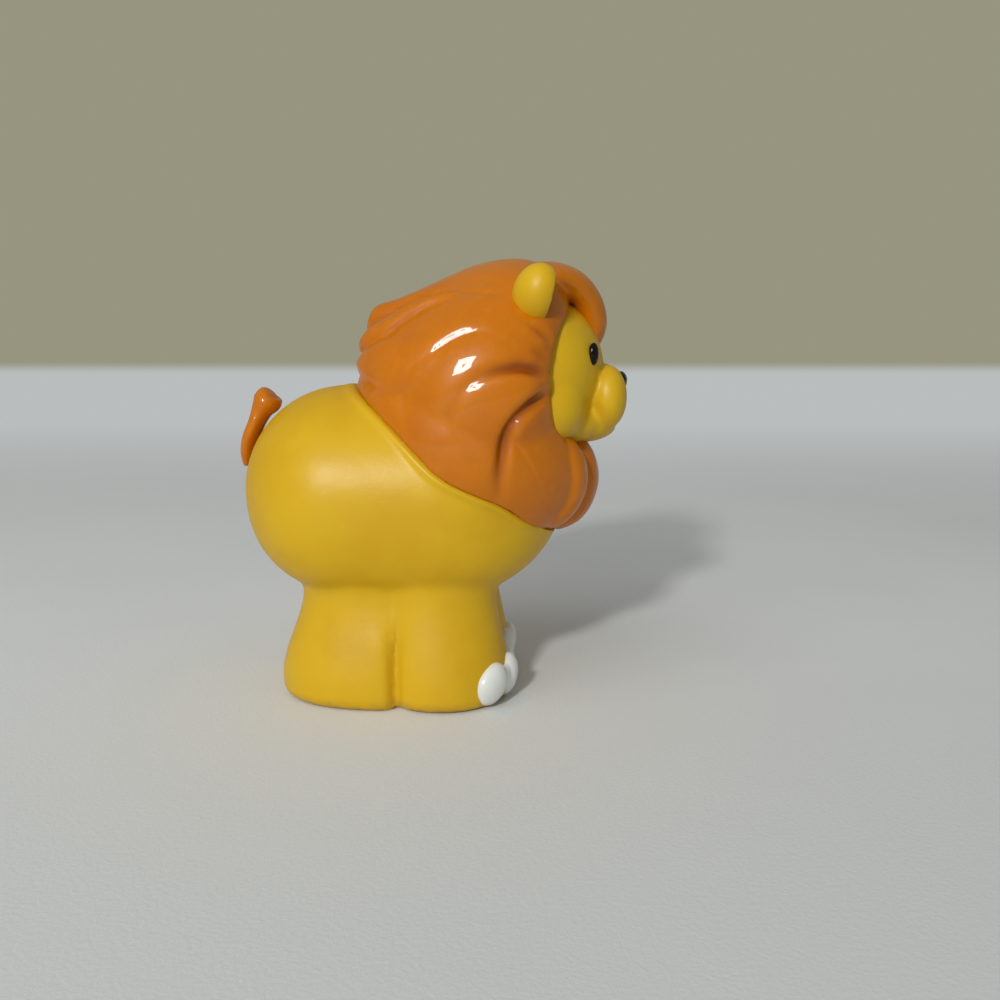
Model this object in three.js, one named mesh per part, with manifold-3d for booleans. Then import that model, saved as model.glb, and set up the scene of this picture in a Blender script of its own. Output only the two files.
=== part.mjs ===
import * as THREE from 'three';
import { mergeVertices } from 'three/addons/utils/BufferGeometryUtils.js';
import Module from 'manifold-3d';

// A chunky vinyl toy lion for a small child's hand, standing on four short legs fused in one block.
// X runs forward to the nose, Y to the lion's left and Z up from the floor. Lengths are millimetres.

// Fits and walls
const fitGap = 0.3; // clearance between two pieces that touch
const bodyWall = 2.2;
const headWall = 2.2;
const maneWall = 2.6; // mane skin under the locks
const cutOverrun = 60; // how far a cutting form runs past what it cuts

// Barrel of the body
const legHeight = 17.7; // floor to the crease under the belly
const rumpSetback = 15; // origin back to the middle of the rump
const rumpRadius = 17.8;
const rumpWidth = 40.6;
const barrelRun = 15.5; // middle of the rump forward to the middle of the chest
const chestLength = 22.5; // middle of the chest forward to its end
const chestRadius = 19;
const chestWidth = 42;
const bellySquareness = 2.7; // 2 is a plain ellipse; the lower half of the barrel is fuller

// Legs
const footRound = 2.2; // rounding of the edge that meets the floor
const footHeight = 4.5; // where the feet are fullest
const waistHeight = 18; // where the legs are slimmest
const hindSetback = 11.3; // origin back to the middle of the hind legs
const hindReach = 15.2; // half the length of a hind foot
const hindSpread = 5.8; // middle plane out to the middle of a hind leg
const hindGirth = 11.6; // half the width of a hind foot
const hindHeelTaper = 4;
const hindSideTaper = 2.2;
const frontAdvance = 1.7; // origin forward to the middle of the front legs
const frontReach = 11.5;
const frontSpread = 8;
const frontGirth = 11;
const frontToeTaper = 2.2;
const frontSideTaper = 2.2;
const coreShare = 0.72; // half the length of the block between the legs over the legs' distance

// Stopper that closes the foot
const rimLap = 1.5; // how far the rim of the foot reaches in past the wall
const plugRecess = 0.8; // stopper's face above the floor
const plugThickness = 2;
const plugLipThickness = 1.2;

// Neck seam between body and mane
const neckForward = 19; // middle of the rump forward to the middle of the neck
const neckRise = 5.3; // middle of the barrel up to the middle of the neck
const neckTilt = THREE.MathUtils.degToRad(35.8);
const lipInset = 1; // side of the chest in to the raised lip round the mane's foot
const lipWidth = 1;
const lipHeight = 0.6;
const neckBore = 10; // hole in the body's deck for the neck plug
const neckPlugLength = 6; // neck plug below the seam
const neckBeadHeight = 1.6; // bead that holds the neck plug under the deck
const neckBeadReach = 0.8;

// Mane
const maneLength = 35;
const maneWidth = 45.8;
const maneHeight = 42.4;
const maneSetback = 16; // neck back to the mane's rearmost point
const maneRise = 11.4; // neck up to the middle of the mane's widest ring
const rimForward = 14.8; // neck forward to the face opening at the cheeks
const rimRise = 14.2; // neck up to the middle of the face opening
const rimCurve = 18.6; // radius of the opening's forward sweep at the brow and the chin
const lockLift = 1.1; // crest of a lock above the mane's skin
const lockSink = 0.6; // edge of a lock below the skin
const lockDepth = 2; // underside of a lock below the skin
const creaseDepth = 1.3;
const creaseRadius = 1.7; // rounding of a crease's bottom
const collarRadius = 22.2; // mane where it swells over the neck seam
const collarRise = 5; // seam up to that swelling
const collarHeight = 16; // half the height of the swelling
const beardForward = 1.5; // middle of the head forward to the beard's root
const beardLift = 2.7; // half the thickness of a beard lock
const beardDrop = 15.5; // chin rim down to the beard's lowest point
const beardRun = 7; // front of the beard back to its lowest point
const foreLift = 2.5; // half the thickness of the forelock
const foreRun = 15; // crown forward to the forelock's front
const foreDrop = 14; // crown down to the forelock's tip

// Head
const headForward = 14.5; // neck forward to the middle of the head
const headRise = 15.2;
const faceDepth = 11;
const faceHalfWidth = 15;
const faceHalfHeight = 12.6;
const cheekForward = 0.8;
const cheekSpread = 9.2;
const cheekDrop = 5.6;
const cheekRadius = 6.5;
const faceBlend = 3; // rounding where the cheeks swell from the face
const muzzleForward = 11.3;
const muzzleSpread = 4.1;
const muzzleDrop = 4.5;
const muzzleDepth = 3.4;
const muzzleGirth = 4.9;
const muzzleHeight = 5.5;
const chinForward = 8.4;
const chinDrop = 9.9;
const chinDepth = 5;
const chinWidth = 10;
const chinHeight = 5.2;

// Nose and eyes
const noseForward = 14.2;
const noseDrop = 1.7;
const noseDepth = 1.3;
const noseWidth = 5.6;
const noseHeight = 3.6;
const eyeForward = 8.7;
const eyeSpread = 9.2;
const eyeRise = 2.5;
const eyeWidth = 2.7;
const eyeHeight = 3.7;
const eyeDepth = 0.8; // half the thickness of an eye
const eyeTurn = THREE.MathUtils.degToRad(32); // how far an eye looks outward

// Ears
const earAlongShare = 0.834; // way along the mane from its back
const earTurn = THREE.MathUtils.degToRad(45); // turn down from the crown
const earRise = 0.3; // middle of the ear above the mane's skin
const earTilt = THREE.MathUtils.degToRad(38); // lean outward
const earLean = THREE.MathUtils.degToRad(15); // lean forward
const earDepth = 4.3; // half the depth of the dome
const earGirth = 4.4;
const earHeight = 5.4;
const earHollow = 3.2; // depth of the cup in the ear's front
const earSeat = 1.3; // depth of the ear's socket in the mane
const earCupShare = 0.7; // width of the cup over the ear's
const earCupHeightShare = 0.55;
const earCupRiseShare = 0.34; // middle of the ear up to the middle of the cup

// Tail
const tailTop = 15.2; // middle of the barrel up to the middle of the tuft's ball
const tailSetback = 13.8; // middle of the rump back to the same point
const tailDrop = 11.6; // tuft's ball down to the tip
const tailRun = 4.4; // tuft's ball back to the tip
const tailHalfWidth = 3.3;
const tailThickness = 1.9; // half the thickness
const tailPegRadius = 1.4;
const tailPegLength = 5;

// Toes of the front paws
const toeHeight = 7.6;
const toeWidth = 5.8;
const toeDepth = 2.2; // half the depth of a toe
const toeRise = 0.3; // floor to the underside of a toe
const toeSeat = 0.9; // depth of a toe's seat in the paw
const toeLean = 0.9; // how far a toe's middle stands inside the paw's outline
const toeSpacingShare = 0.88; // distance between two toes' middles over a toe's width
const toeTurn = THREE.MathUtils.degToRad(8); // middle toe's turn outward from straight ahead
const toeTipStep = THREE.MathUtils.degToRad(16); // lean of an outer toe beyond the next one's
const toeTip = THREE.MathUtils.degToRad(8); // lean of the middle toe
const webShares = new THREE.Vector3(0.78, 0.6, 0.74); // depth, width and height of a web over a toe's

// Colours
const paints = {
  yellow: { color: 0xd9a514, roughness: 0.5, metalness: 0 },
  orange: { color: 0xc96a0a, roughness: 0.2, metalness: 0 },
  white: { color: 0xe6e6e0, roughness: 0.4, metalness: 0 },
  black: { color: 0x0c0b0a, roughness: 0.15, metalness: 0 },
};

// Places worked out from the sizes above
const barrelZ = legHeight + rumpRadius;
const rumpX = -rumpSetback;
const chestX = rumpX + barrelRun;
const neck = new THREE.Vector3(rumpX + neckForward, 0, barrelZ + neckRise);
const head = neck.clone().add(new THREE.Vector3(headForward, 0, headRise));
const maneBack = neck.x - maneSetback;
const maneZ = neck.z + maneRise;
const rimWidth = bodyWall + rimLap;
const lipRadius = chestWidth / 2 - lipInset;

// Mane stations from the back to the face: place along, rise of the middle, half width, half height,
// as shares of the mane's length, height, width and height
const maneStationShares = [
  [0, 0.09, 0, 0],
  [0.022, 0.08, 0.12, 0.104],
  [0.093, 0.066, 0.251, 0.193],
  [0.231, 0.031, 0.38, 0.318],
  [0.368, 0.009, 0.454, 0.406],
  [0.505, 0, 0.493, 0.467],
  [0.643, 0, 0.5, 0.5],
  [0.78, 0.019, 0.463, 0.49],
  [0.918, 0.066, 0.389, 0.415],
  [1, 0.09, 0.328, 0.342],
];

// Locks of one side, top to bottom. Each point: share of the way along the mane from the back,
// turn from the crown in degrees, half width as a share of the mane's width, and share of the lift
const sideLockShares = {
  crownSide: [[0.5, 31, 0.012, 0.2], [0.42, 31, 0.02, 0.6], [0.33, 31, 0.03, 0.9], [0.24, 32, 0.045, 1],
    [0.16, 34, 0.07, 1.1], [0.1, 37, 0.07, 1.3], [0.05, 42, 0.04, 1.4], [0.02, 46, 0.014, 1]],
  temple: [[0.62, 66, 0.06, 0.2], [0.48, 67, 0.1, 0.7], [0.34, 70, 0.125, 1], [0.2, 78, 0.135, 1],
    [0.1, 82, 0.11, 1.1], [0.045, 79, 0.07, 1.3], [0.012, 73, 0.02, 1]],
};
const crownLockShares = [[0.98, 0, 0.3, 0.4], [0.8, 0, 0.34, 0.9], [0.62, 0, 0.31, 1],
  [0.44, 0, 0.225, 0.9], [0.32, 0, 0.19, 0.9], [0.22, 0, 0.145, 1.2], [0.14, 0, 0.08, 1.8],
  [0.1, 0, 0.04, 2], [0.085, 0, 0.012, 1.5]];

// Creases of one side, where a lock sinks below the next. Each point: share of the way along the mane,
// turn from the crown in degrees, and share of the crease's full depth
const creaseShares = {
  bulge: [[0.42, 64, 0.05], [0.37, 68, 0.4], [0.32, 72.5, 0.45], [0.27, 78.5, 0.45], [0.24, 87, 0.45],
    [0.235, 96, 0.4], [0.27, 106, 0.05]],
  cheek: [[0.96, 87, 0.6], [0.82, 80.5, 0.9], [0.76, 78, 0.9], [0.68, 77.5, 0.8], [0.61, 79, 0.8],
    [0.54, 82, 0.8], [0.49, 87.5, 0.7], [0.46, 93.5, 0.5], [0.44, 101, 0.05]],
  jowl: [[0.97, 96, 0.6], [0.83, 94, 1], [0.74, 97.5, 1], [0.7, 102.5, 1], [0.676, 110, 1],
    [0.66, 117.5, 0.9], [0.65, 126, 0.6], [0.66, 138, 0.05]],
};

// Free locks. Each point: forward and down as shares of the lock's run and drop, sideways as a share
// of the head's half width, then half width as a share of the same and a share of the lock's lift
const beardShares = [[0.55, -0.1, 0, 0.3, 0.6], [0.86, 0.18, 0, 0.36, 0.85], [0.9, 0.45, 0, 0.38, 1],
  [0.62, 0.74, 0, 0.34, 1], [0.1, 0.9, 0, 0.26, 0.7]];
const chinLockShares = [[0.05, -0.12, 0.62, 0.2, 0.7], [0.42, 0.12, 0.6, 0.27, 1],
  [0.5, 0.4, 0.54, 0.29, 1.05], [0.25, 0.66, 0.48, 0.28, 1], [-0.2, 0.82, 0.42, 0.22, 0.7]];
const forelockShares = [[0, 0.16, 0, 0.62, 0.8], [0.4, 0.12, 0, 0.68, 1.05], [0.7, 0.2, 0, 0.54, 1.1],
  [0.89, 0.4, 0, 0.38, 1.05], [0.97, 0.66, 0, 0.27, 1], [0.95, 0.86, 0, 0.19, 0.8], [0.91, 0.95, 0, 0.1, 0.5]];

// Tail, from the ball of the tuft to the tip: back and down, half width and thickness, all shares
const tailShares = [[-0.2, -0.14, 0.5, 0.6], [-0.06, -0.08, 0.85, 1.1], [0.06, 0.02, 1, 1.3],
  [0.3, 0.16, 0.9, 0.95], [0.52, 0.34, 0.98, 0.75], [0.8, 0.58, 0.95, 0.72], [0.95, 0.8, 0.66, 0.6],
  [1, 1, 0.25, 0.3]];

const wasm = await Module();
wasm.setup();

// Closed mesh to a solid that can be joined and cut
function solidFrom(geometry) {
  const shape = geometry.clone();
  shape.deleteAttribute('normal');
  shape.deleteAttribute('uv');
  const merged = mergeVertices(shape);
  const vertProperties = new Float32Array(merged.attributes.position.array);
  const triVerts = new Uint32Array(merged.index.array);
  return new wasm.Manifold(new wasm.Mesh({ numProp: 3, vertProperties, triVerts }));
}

function union(solids) {
  return solids.reduce((sum, solid) => sum.add(solid));
}

// Ellipsoid with its poles up and down
function ellipsoid(centre, radii, around = 24, down = 14) {
  const ball = new THREE.SphereGeometry(1, around, down);
  ball.rotateX(Math.PI / 2);
  ball.scale(radii.x, radii.y, radii.z);
  ball.translate(centre.x, centre.y, centre.z);
  return solidFrom(ball);
}

function mirrorY(solid) {
  return solid.mirror([0, 1, 0]);
}

// Closed skin through rings of equal point counts, each end closed by a fan to its middle
function loft(rings) {
  const count = rings[0].length;
  const ends = [rings[0], rings.at(-1)].map((ring) =>
    ring.reduce((sum, point) => sum.add(point), new THREE.Vector3()).divideScalar(count));
  const points = [...rings.flat(), ...ends];
  const firstEnd = points.length - 2;
  const lastEnd = points.length - 1;
  const lastRing = (rings.length - 1) * count;
  const faces = [];
  for (let step = 0; step < count; step++) {
    const next = (step + 1) % count;
    for (let ring = 0; ring < lastRing; ring += count) {
      faces.push(ring + step, ring + next, ring + count + next);
      faces.push(ring + step, ring + count + next, ring + count + step);
    }
    faces.push(firstEnd, next, step);
    faces.push(lastEnd, lastRing + step, lastRing + next);
  }
  let volume = 0;
  for (let face = 0; face < faces.length; face += 3) {
    const [a, b, c] = faces.slice(face, face + 3).map((index) => points[index]);
    volume += a.dot(b.clone().cross(c));
  }
  const shape = new THREE.BufferGeometry().setFromPoints(points);
  shape.setIndex(volume < 0 ? faces.reverse() : faces);
  return solidFrom(shape);
}

function signedPower(value, power) {
  return Math.sign(value) * Math.abs(value) ** power;
}

// Upright ring of an ellipse or a squared ellipse round a point
function planRing(middle, reach, girth, height, squareness, count) {
  const ring = [];
  for (let step = 0; step < count; step++) {
    const turn = (2 * Math.PI * step) / count;
    const forward = signedPower(Math.cos(turn), 2 / squareness);
    const sideways = signedPower(Math.sin(turn), 2 / squareness);
    ring.push(new THREE.Vector3(middle.x + reach * forward, middle.y + girth * sideways, height));
  }
  return ring;
}

// Barrel: a round rump and a longer, deeper chest joined by a straight run, pulled in by the inset
function barrel(inset, around, steps) {
  const rings = [];
  for (let step = 1; step < 2 * steps; step++) {
    const turn = (Math.PI * step) / (2 * steps);
    const isChest = step > steps;
    const radius = (isChest ? chestRadius : rumpRadius) - inset;
    const halfWidth = (isChest ? chestWidth : rumpWidth) / 2 - inset;
    const reach = (isChest ? chestLength : rumpRadius) - inset;
    const along = (isChest ? chestX : rumpX) - reach * Math.cos(turn);
    const ring = [];
    for (let slice = 0; slice < around; slice++) {
      const angle = (2 * Math.PI * slice) / around;
      const power = 2 / (Math.cos(angle) < 0 ? bellySquareness : 2);
      const sideways = halfWidth * Math.sin(turn) * signedPower(Math.sin(angle), power);
      const up = radius * Math.sin(turn) * signedPower(Math.cos(angle), power);
      ring.push(new THREE.Vector3(along, sideways, barrelZ + up));
    }
    rings.push(ring);
  }
  const rear = new THREE.Vector3(rumpX - rumpRadius + inset, 0, barrelZ);
  const front = new THREE.Vector3(chestX + chestLength - inset, 0, barrelZ);
  return loftToPoles(rings, rear, front);
}

// Skin through rings that closes on a pole beyond each end
function loftToPoles(rings, first, last) {
  const near = (ring, pole) => ring.map((point) => point.clone().lerp(pole, 0.999));
  return loft([near(rings[0], first), ...rings, near(rings.at(-1), last)]);
}

// One leg, from the rounded edge at the floor up into the barrel
function leg({ middle, reach, girth, heelTaper, toeTaper, sideTaper, squareness }, inset, around) {
  const edge = inset > 0 ? [0, 1] : [0, 0.13, 0.5, 1];
  const climb = inset > 0 ? [0.1, 0.5, 1] : [0.1, 0.4, 0.7, 1];
  const heights = [
    ...edge.map((share) => share * footRound),
    ...climb.map((share) => THREE.MathUtils.lerp(footHeight, waistHeight, share)),
    legHeight + rumpRadius / 2,
  ];
  return loft(heights.map((height) => {
    const low = Math.max(0, footRound - height);
    const rounding = footRound - Math.sqrt(footRound ** 2 - low ** 2);
    const climbShare = THREE.MathUtils.inverseLerp(footHeight, waistHeight, height);
    const straight = THREE.MathUtils.clamp(climbShare, 0, 1);
    const slimming = (straight + THREE.MathUtils.smoothstep(climbShare, 0, 1)) / 2;
    const shift = ((heelTaper - toeTaper) * slimming) / 2;
    const halfLength = reach - inset - rounding - ((heelTaper + toeTaper) * slimming) / 2;
    const halfWidth = girth - inset - rounding - sideTaper * slimming;
    const centre = new THREE.Vector3(middle.x + shift, middle.y, 0);
    return planRing(centre, halfLength, halfWidth, height, squareness, around);
  }));
}

const hindLeg = {
  middle: new THREE.Vector3(-hindSetback, hindSpread, 0),
  reach: hindReach,
  girth: hindGirth,
  heelTaper: hindHeelTaper,
  toeTaper: 0,
  sideTaper: hindSideTaper,
  squareness: 2.05,
};
// The block between the legs, out of sight
const coreLeg = {
  middle: new THREE.Vector3((frontAdvance - hindSetback) / 2, 0, 0),
  reach: coreShare * (hindSetback + frontAdvance),
  girth: frontSpread,
  heelTaper: 0,
  toeTaper: 0,
  sideTaper: 0,
  squareness: 2,
};
const frontLeg = {
  middle: new THREE.Vector3(frontAdvance, frontSpread, 0),
  reach: frontReach,
  girth: frontGirth,
  heelTaper: 0,
  toeTaper: frontToeTaper,
  sideTaper: frontSideTaper,
  squareness: 2.2,
};

function bodyForm(inset, around, steps) {
  const legs = [hindLeg, frontLeg].map((shape) => leg(shape, inset, around));
  const core = leg(coreLeg, inset, 10);
  return union([barrel(inset, Math.round(around * 1.5), steps), core, ...legs, ...legs.map(mirrorY)]);
}

// Plate with the plan of the four feet, from one height to another
function footPlate(inset, from, to, around) {
  const plates = [hindLeg, frontLeg, coreLeg].map(({ middle, reach, girth, squareness }) => loft(
    [from, to].map((height) => planRing(middle, reach - inset, girth - inset, height, squareness, around))));
  return union([...plates, ...plates.map(mirrorY)]);
}

// Form drawn with its Z along the neck, put in its place on the seam
function onNeck(geometry) {
  geometry.rotateY(neckTilt);
  geometry.translate(neck.x, neck.y, neck.z);
  return solidFrom(geometry);
}

// Everything above the seam, or above a plane shifted along the neck
function aboveSeam(shift) {
  const block = new THREE.BoxGeometry(2 * cutOverrun, 2 * cutOverrun, cutOverrun);
  block.translate(0, 0, cutOverrun / 2 + shift);
  return onNeck(block);
}

// Upright round bar on the neck's own axis
function neckBar(radius, from, to) {
  const bar = new THREE.CylinderGeometry(radius, radius, to - from, 18);
  bar.rotateX(Math.PI / 2);
  bar.translate(0, 0, (from + to) / 2);
  return onNeck(bar);
}

function neckRing(inner, outer, from, to) {
  const profile = [[inner, from], [outer, from], [outer, to], [inner, to], [inner, from]];
  const points = profile.map(([radius, height]) => new THREE.Vector2(radius, height));
  const ring = new THREE.LatheGeometry(points, 32);
  ring.rotateX(Math.PI / 2);
  return onNeck(ring);
}

// Place on the mane's skin, with the way out of it
const stationShares = new THREE.CubicInterpolant(
  maneStationShares.map((station) => station[0]),
  maneStationShares.flatMap((station) => station.slice(1)),
  3,
);

function manePoint(along, turn, inset = 0) {
  const [rise, halfWidth, halfHeight] = stationShares.evaluate(THREE.MathUtils.clamp(along, 0, 1));
  const width = Math.max(0, halfWidth * maneWidth - inset);
  const height = Math.max(0, halfHeight * maneHeight - inset);
  const x = maneBack + inset + along * (maneLength - 2 * inset);
  return new THREE.Vector3(x, -width * Math.sin(turn), maneZ + rise * maneHeight + height * Math.cos(turn));
}

function maneBall(inset, around) {
  const stations = [0.006, 0.03, 0.08, 0.15, 0.24, 0.36, 0.5, 0.64, 0.78, 0.9, 1];
  return loft(stations.map((along) => {
    const ring = [];
    for (let step = 0; step < around; step++) {
      ring.push(manePoint(along, (2 * Math.PI * step) / around, inset));
    }
    return ring;
  }));
}

// The same place on whichever lies further out, the ball of the mane or the collar's swelling
function skinPoint(along, turn) {
  const point = manePoint(along, turn);
  const axis = manePoint(along, turn, maneWidth);
  axis.x = point.x;
  const intoCollar = (place) => place.clone().sub(neck)
    .applyAxisAngle(new THREE.Vector3(0, 1, 0), -neckTilt)
    .sub(new THREE.Vector3(0, 0, collarRise))
    .divide(new THREE.Vector3(collarRadius, collarRadius, collarHeight));
  const start = intoCollar(axis);
  const step = intoCollar(point).sub(start);
  const half = start.dot(step) / step.lengthSq();
  const root = half ** 2 - (start.lengthSq() - 1) / step.lengthSq();
  const reach = root > 0 ? Math.sqrt(root) - half : 0;
  return reach > 1 ? axis.lerp(point, reach) : point;
}

// Point and outward direction on the mane's skin
function maneFrame(along, turn) {
  const small = 0.01;
  const point = skinPoint(along, turn);
  const ahead = skinPoint(along + small, turn).sub(skinPoint(along - small, turn));
  const round = skinPoint(along, turn + small).sub(skinPoint(along, turn - small));
  return { point, out: round.cross(ahead).normalize() };
}

// Section of a lock: a puffed crest over a flat underside, bent to the radius of what it lies on
function lockRing({ point, out }, heading, halfWidth, lift, sink, depth, bend) {
  const side = out.clone().cross(heading).normalize();
  const place = (across, raise) => {
    const turn = across / bend;
    return point.clone()
      .addScaledVector(side, (bend + raise) * Math.sin(turn))
      .addScaledVector(out, (bend + raise) * Math.cos(turn) - bend);
  };
  const crest = [-1, -0.85, -0.5, 0, 0.5, 0.85, 1];
  const rise = (share) => (lift + sink) * Math.sqrt(1 - share ** 2) - sink;
  const top = crest.map((share) => place(share * halfWidth, rise(share)));
  const base = [0.5, -0.5].map((share) => place(share * halfWidth, -depth));
  return [...top, ...base];
}

// Lock that lies on the mane's skin along a route of shares
function skinLock(shares, side, rings) {
  const route = new THREE.CatmullRomCurve3(shares.map(([along, degrees]) =>
    new THREE.Vector3(along, side * THREE.MathUtils.degToRad(degrees), 0)));
  const girth = new THREE.CatmullRomCurve3(shares.map(([, , width, lift]) =>
    new THREE.Vector3(width, lift, 0)));
  const frames = [];
  for (let step = 0; step <= rings; step++) {
    const place = route.getPoint(step / rings);
    frames.push(maneFrame(place.x, place.y));
  }
  return loft(frames.map((frame, step) => {
    const before = frames[Math.max(0, step - 1)].point;
    const after = frames[Math.min(rings, step + 1)].point;
    const size = girth.getPoint(step / rings);
    const halfWidth = size.x * maneWidth;
    const heading = after.clone().sub(before);
    return lockRing(frame, heading, halfWidth, size.y * lockLift, lockSink, lockDepth, maneWidth / 2);
  }));
}

// Crease on the mane's skin: a tube sunk along a route of shares
function crease(shares, side, rings, around) {
  const route = new THREE.CatmullRomCurve3(shares.map(([along, degrees, depth]) =>
    new THREE.Vector3(along, side * THREE.MathUtils.degToRad(degrees), depth)));
  const places = [];
  for (let step = 0; step <= rings; step++) {
    const place = route.getPoint(step / rings);
    places.push({ ...maneFrame(place.x, place.y), depth: place.z * creaseDepth });
  }
  return loft(places.map(({ point, out, depth }, step) => {
    const before = places[Math.max(0, step - 1)].point;
    const after = places[Math.min(rings, step + 1)].point;
    const across = out.clone().cross(after.clone().sub(before)).normalize();
    const ring = [];
    for (let slice = 0; slice < around; slice++) {
      const turn = (2 * Math.PI * slice) / around;
      ring.push(point.clone()
        .addScaledVector(across, creaseRadius * Math.cos(turn))
        .addScaledVector(out, creaseRadius * (1 + Math.sin(turn)) - depth));
    }
    return ring;
  }));
}

// Lock that hangs free: a flattened tube along its own route
function freeLock(points, halfWidths, halfThicknesses, rings, around) {
  const route = new THREE.CatmullRomCurve3(points);
  const girth = new THREE.CatmullRomCurve3(halfWidths.map((width, index) =>
    new THREE.Vector3(width, halfThicknesses[index], 0)));
  const sections = [];
  for (let step = 0; step <= rings; step++) {
    const centre = route.getPoint(step / rings);
    const heading = route.getTangent(step / rings);
    const size = girth.getPoint(step / rings);
    const side = new THREE.Vector3(0, 1, 0);
    const out = side.clone().cross(heading).normalize();
    const ring = [];
    for (let slice = 0; slice < around; slice++) {
      const turn = (2 * Math.PI * slice) / around;
      ring.push(centre.clone()
        .addScaledVector(side, size.x * Math.cos(turn))
        .addScaledVector(out, size.y * Math.sin(turn)));
    }
    sections.push(ring);
  }
  return loft(sections);
}

// Free lock of the head, from a table of shares and the point that it starts from
function hangingLock(shares, start, run, drop, lift, side = 1) {
  const points = shares.map(([forward, down, sideways]) => start.clone().add(
    new THREE.Vector3(forward * run, side * sideways * faceHalfWidth, -down * drop)));
  const widths = shares.map((share) => share[3] * faceHalfWidth);
  const thicknesses = shares.map((share) => share[4] * lift);
  return freeLock(points, widths, thicknesses, 8, 10);
}

// Face and cheeks as one smooth skin, found along rays from the middle of the head
function faceSkin(around, down) {
  const forms = [
    { centre: head, radii: new THREE.Vector3(faceDepth, faceHalfWidth, faceHalfHeight) },
    ...[-1, 1].map((side) => ({
      centre: head.clone().add(new THREE.Vector3(cheekForward, side * cheekSpread, -cheekDrop)),
      radii: new THREE.Vector3(cheekRadius, cheekRadius, cheekRadius),
    })),
  ];
  const distance = (point) => {
    const each = forms.map(({ centre, radii }) => {
      const scaled = point.clone().sub(centre).divide(radii);
      return (scaled.length() - 1) * Math.min(radii.x, radii.y, radii.z);
    });
    const sum = each.reduce((total, value) => total + Math.exp((-4 * value) / faceBlend), 0);
    return (-faceBlend * Math.log(sum)) / 4;
  };
  const skin = new THREE.SphereGeometry(1, around, down);
  skin.rotateX(Math.PI / 2);
  const places = skin.attributes.position;
  for (let index = 0; index < places.count; index++) {
    const ray = new THREE.Vector3().fromBufferAttribute(places, index).normalize();
    let near = 0;
    let far = 2 * faceHalfWidth;
    for (let halving = 0; halving < 30; halving++) {
      const middle = (near + far) / 2;
      if (distance(head.clone().addScaledVector(ray, middle)) < 0) near = middle;
      else far = middle;
    }
    const found = head.clone().addScaledVector(ray, near);
    places.setXYZ(index, found.x, found.y, found.z);
  }
  return solidFrom(skin);
}

function fromHead(forward, sideways, up) {
  return head.clone().add(new THREE.Vector3(forward, sideways, up));
}

// Outside of the head: face, muzzle, chin and the skull that fills the mane. Grown, it cuts the mane
// and its skull runs on past the mane's face rim
function headForm(grow) {
  const muzzleRadii = new THREE.Vector3(muzzleDepth, muzzleGirth, muzzleHeight);
  const lobes = [-1, 1].map((side) =>
    ellipsoid(fromHead(muzzleForward, side * muzzleSpread, -muzzleDrop), muzzleRadii, 14, 9));
  const chin = ellipsoid(fromHead(chinForward, 0, -chinDrop),
    new THREE.Vector3(chinDepth, chinWidth / 2, chinHeight / 2), 12, 7);
  const bridge = ellipsoid(fromHead(muzzleForward - muzzleDepth / 2, 0, -muzzleDrop),
    new THREE.Vector3(muzzleDepth, muzzleSpread, muzzleHeight), 8, 6);
  const skull = maneBall(maneWall + fitGap - grow, 13).subtract(faceOpening(fitGap - 2 * grow));
  return union([faceSkin(20, 12), ...lobes, bridge, chin, skull]);
}

// Space in front of the mane's face rim, moved back by the shift
function faceOpening(shift) {
  const sweep = new THREE.CylinderGeometry(rimCurve, rimCurve, 2 * cutOverrun, 48);
  sweep.translate(neck.x + rimForward + rimCurve - shift, 0, neck.z + rimRise);
  return solidFrom(sweep);
}

// Neck plug of the head, with the bead that snaps under the body's deck
function neckPlug(grow) {
  const radius = neckBore - fitGap + grow;
  const plug = neckBar(radius, -neckPlugLength, maneRise);
  const bead = neckBar(radius + neckBeadReach, -bodyWall - fitGap - neckBeadHeight, -bodyWall - fitGap);
  return plug.add(bead);
}

// Eye as a flat drop on the face
function eye(side, grow) {
  const ball = new THREE.SphereGeometry(1, 10, 7);
  ball.rotateZ(Math.PI / 2);
  ball.scale(eyeDepth + grow, eyeWidth / 2 + grow, eyeHeight / 2 + grow);
  ball.rotateZ(side * eyeTurn);
  const place = fromHead(eyeForward, side * eyeSpread, eyeRise);
  ball.translate(place.x, place.y, place.z);
  return solidFrom(ball);
}

function nose(grow) {
  const radii = new THREE.Vector3(noseDepth + grow, noseWidth / 2 + grow, noseHeight / 2 + grow);
  return ellipsoid(fromHead(noseForward, 0, -noseDrop), radii, 12, 7);
}

// Ear: a leaning dome, cupped in front
function earDome(side, grow) {
  const dome = new THREE.SphereGeometry(1, 12, 8);
  dome.rotateX(Math.PI / 2);
  dome.scale(earDepth + grow, earGirth + grow, earHeight + grow);
  return placeEar(dome, side);
}

function placeEar(geometry, side) {
  const root = manePoint(earAlongShare, -side * earTurn, -earRise);
  geometry.rotateY(earLean);
  geometry.rotateX(-side * earTilt);
  geometry.translate(root.x, root.y, root.z);
  return solidFrom(geometry);
}

function ear(side) {
  const cup = new THREE.SphereGeometry(1, 12, 8);
  cup.rotateX(Math.PI / 2);
  cup.scale(earHollow, earGirth * earCupShare, earHeight * earCupHeightShare);
  cup.translate(earDepth / 2, 0, earHeight * earCupRiseShare);
  const front = new THREE.BoxGeometry(earDepth, 2 * cutOverrun, 2 * cutOverrun);
  front.translate(earDepth, 0, 0);
  return [maneBall(earSeat, 24), placeEar(cup, side), placeEar(front, side), headForm(fitGap)]
    .reduce((rest, cutter) => rest.subtract(cutter), earDome(side, 0));
}

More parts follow.
